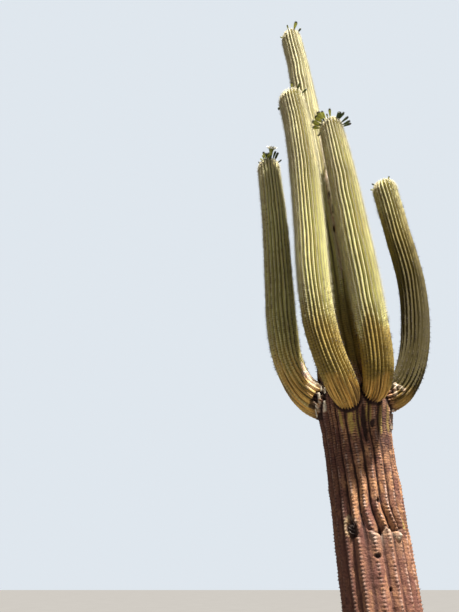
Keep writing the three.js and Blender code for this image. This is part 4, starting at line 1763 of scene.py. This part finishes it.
# Rows of petals from the outside: count, lean from the flower's axis in degrees, and length
PETAL_ROWS = ((13, 38, 0.36), (12, 26, 0.35), (9, 13, 0.30))
PETAL_RING = 0.19
PETAL_RING_STEP = 0.03
PETAL_ROOT = 0.885
PETAL_SIZE = 0.75
STAMENS = 130
STAMEN_WIDTH = 0.028
STAMEN_LENGTHS = (0.16, 0.24)
STAMEN_SPREAD = 0.55
MOUTH_RADIUS = 0.16
MOUTH_FLOOR = 0.84


class SAGUARO_OT_flower(bpy.types.Operator):
    """Open the one flower on the left arm"""

    bl_idname = "saguaro.flower"
    bl_label = "Flower"

    def execute(self, context):
        limb = limbs()[FLOWER["limb"]]
        root, heading = stood_on_dome(limb, math.radians(FLOWER["bearing"]), math.radians(FLOWER["tilt"]))
        axes = (root, *axes_round(heading, 0.0), heading, FLOWER["length"] + BUD_SUNK)

        tube = taken_apart(ring_body("tube_pattern", 2 * BUD_SIDES, FLOWER_TUBE))
        scales = bud_scales(FLOWER_TUBE, first=0.30, last=0.84)
        green = [one_copy(tube, *axes), one_copy(scales, *axes)]
        points, triangles = merged(green)
        tones = np.repeat([GREEN_TONE, SCALE_TONE], [len(part[1]) for part in green])
        piece = joined_mesh("flower_tube", points, triangles, tones)
        finish_piece(piece, BUD_MATERIALS[:2], "buds")

        piece = joined_mesh("flower_petals", *one_copy(self.petals(), *axes))
        finish_piece(piece, ["petal_white"], "petals")

        piece = joined_mesh("flower_stamens", *one_copy(self.stamens(), *axes))
        finish_piece(piece, ["stamen_yellow"], "petals")
        return {"FINISHED"}

    def petals(self):
        """Three rows of petals, the outer ones lying wide and the inner ones more upright."""
        pattern = taken_apart(tongue(
            "petal_pattern", rows=7, width=0.42, length=1.0, curl=-0.25, thickness=0.03))
        parts = []
        for row, (count, lean, length) in enumerate(PETAL_ROWS):
            for number in range(count):
                turn = 2 * math.pi * (number + 0.5 * row) / count
                outward = spoke(turn)
                swing = math.radians(lean + 6 * math.sin(5 * turn))
                up = outward * math.sin(swing) + UP * math.cos(swing)
                out = UP * math.sin(swing) - outward * math.cos(swing)
                place = outward * (PETAL_RING - PETAL_RING_STEP * row) + UP * PETAL_ROOT
                parts.append(one_copy(pattern, place, np.cross(up, out), up, out, length * PETAL_SIZE))
        return merged(parts)

    def stamens(self):
        """A crowd of yellow threads in the mouth of the flower."""
        chance = np.random.default_rng(STAMEN_CHOICES)
        points, triangles = one_spine()
        thread = (points * (1, 1, -1) + UP, triangles[:, ::-1])
        width = STAMEN_WIDTH
        parts = []
        for number in range(STAMENS):
            share = math.sqrt((number + 0.5) / STAMENS)
            outward = spoke(number * GOLDEN_TURN)
            heading = unit(outward * STAMEN_SPREAD * share + UP)
            side, other = axes_round(heading, 0.0)
            reach = chance.uniform(*STAMEN_LENGTHS)
            place = outward * MOUTH_RADIUS * share + UP * MOUTH_FLOOR
            parts.append(one_copy(thread, place, side * width, other * width, heading * reach))
        return merged(parts)


# Stage

SUN_BEARING = 34.0
SUN_HEIGHT = 63.0
SUN_STRENGTH = 14.0
SUN_SOFTNESS = 3.0
SUN_COLOUR = (1.0, 0.97, 0.91)
FILL_COLOUR = (0.80, 0.88, 1.0)
FILL_STRENGTH = 0.145
BACKDROP_COLOUR = (0.78, 0.84, 0.90)
BACKDROP_STRENGTH = 0.95
FLOOR_SIZE = 160.0
FLOOR_DARK = (0.150, 0.145, 0.140)
FLOOR_PALE = (0.165, 0.160, 0.155)
VIEW_DEPTH = 400


class SAGUARO_OT_stage(bpy.types.Operator):
    """Set the camera, the pale floor and the soft light"""

    bl_idname = "saguaro.stage"
    bl_label = "Stage"

    def execute(self, context):
        self.camera(context.scene)
        self.sun()
        self.sky(context.scene)
        self.floor()
        context.scene.view_settings.view_transform = "Standard"
        return {"FINISHED"}

    def camera(self, scene):
        bpy.ops.object.camera_add(location=CAMERA_PLACE, rotation=(math.radians(90 + CAMERA_TILT), 0, 0))
        camera = bpy.context.object
        camera.name = "camera"
        camera.data.lens = CAMERA_LENS
        camera.data.sensor_width = SENSOR
        camera.data.clip_end = VIEW_DEPTH
        scene.camera = camera

    def sun(self):
        bpy.ops.object.light_add(type="SUN")
        sun = bpy.context.object
        sun.name = "sun"
        sun.data.energy = SUN_STRENGTH
        sun.data.angle = math.radians(SUN_SOFTNESS)
        sun.data.color = SUN_COLOUR
        bearing = math.radians(SUN_BEARING)
        height = math.radians(SUN_HEIGHT)
        flat = math.cos(height)
        towards = Vector((flat * math.sin(bearing), -flat * math.cos(bearing), math.sin(height)))
        sun.rotation_euler = towards.to_track_quat("Z", "Y").to_euler()

    def sky(self, scene):
        world = bpy.data.worlds.new("studio")
        scene.world = world
        world.use_nodes = True
        nodes = world.node_tree.nodes
        links = world.node_tree.links
        fill = nodes["Background"]
        backdrop = nodes.new("ShaderNodeBackground")
        lights = ((fill, FILL_COLOUR, FILL_STRENGTH), (backdrop, BACKDROP_COLOUR, BACKDROP_STRENGTH))
        for light, colour_of_light, strength in lights:
            light.inputs["Color"].default_value = (*colour_of_light, 1)
            light.inputs["Strength"].default_value = strength
        path = nodes.new("ShaderNodeLightPath")
        mix = nodes.new("ShaderNodeMixShader")
        links.new(path.outputs["Is Camera Ray"], mix.inputs[0])
        links.new(fill.outputs[0], mix.inputs[1])
        links.new(backdrop.outputs[0], mix.inputs[2])
        links.new(mix.outputs[0], nodes["World Output"].inputs["Surface"])

    def floor(self):
        bpy.ops.object.select_all(action="DESELECT")
        bpy.ops.mesh.primitive_plane_add(size=FLOOR_SIZE)
        floor = named("floor")
        shader = Shader("floor_pale", roughness=0.9, specular=0.1)
        shader.colour(shader.mix(shader.noise(0.7, 2), FLOOR_DARK, FLOOR_PALE))
        floor.data.materials.append(shader.material)


class SAGUARO_PT_panel(bpy.types.Panel):
    """The steps of the plant in the sidebar"""

    bl_label = "Saguaro cactus"
    bl_space_type = "VIEW_3D"
    bl_region_type = "UI"
    bl_category = "Saguaro"

    def draw(self, context):
        for group in (context.scene.saguaro_sizes, context.scene.saguaro_colours):
            for name in group.__annotations__:
                self.layout.prop(group, name)
        for step in STEPS:
            self.layout.operator(step.bl_idname)


STEPS = (
    SAGUARO_OT_materials,
    SAGUARO_OT_trunk,
    SAGUARO_OT_arms,
    SAGUARO_OT_plates,
    SAGUARO_OT_pads,
    SAGUARO_OT_spines,
    SAGUARO_OT_buds,
    SAGUARO_OT_flower,
    SAGUARO_OT_stage,
)
CLASSES = (SaguaroSizes, SaguaroColours, *STEPS, SAGUARO_PT_panel)


def register():
    for each in CLASSES:
        bpy.utils.register_class(each)
    bpy.types.Scene.saguaro_sizes = PointerProperty(type=SaguaroSizes)
    bpy.types.Scene.saguaro_colours = PointerProperty(type=SaguaroColours)


def unregister():
    del bpy.types.Scene.saguaro_colours
    del bpy.types.Scene.saguaro_sizes
    for each in reversed(CLASSES):
        bpy.utils.unregister_class(each)


def main():
    register()
    bpy.ops.saguaro.materials()
    bpy.ops.saguaro.trunk()
    bpy.ops.saguaro.arms()
    bpy.ops.saguaro.plates()
    bpy.ops.saguaro.pads()
    bpy.ops.saguaro.spines()
    bpy.ops.saguaro.buds()
    bpy.ops.saguaro.flower()
    bpy.ops.saguaro.stage()


if __name__ == "__main__":
    main()
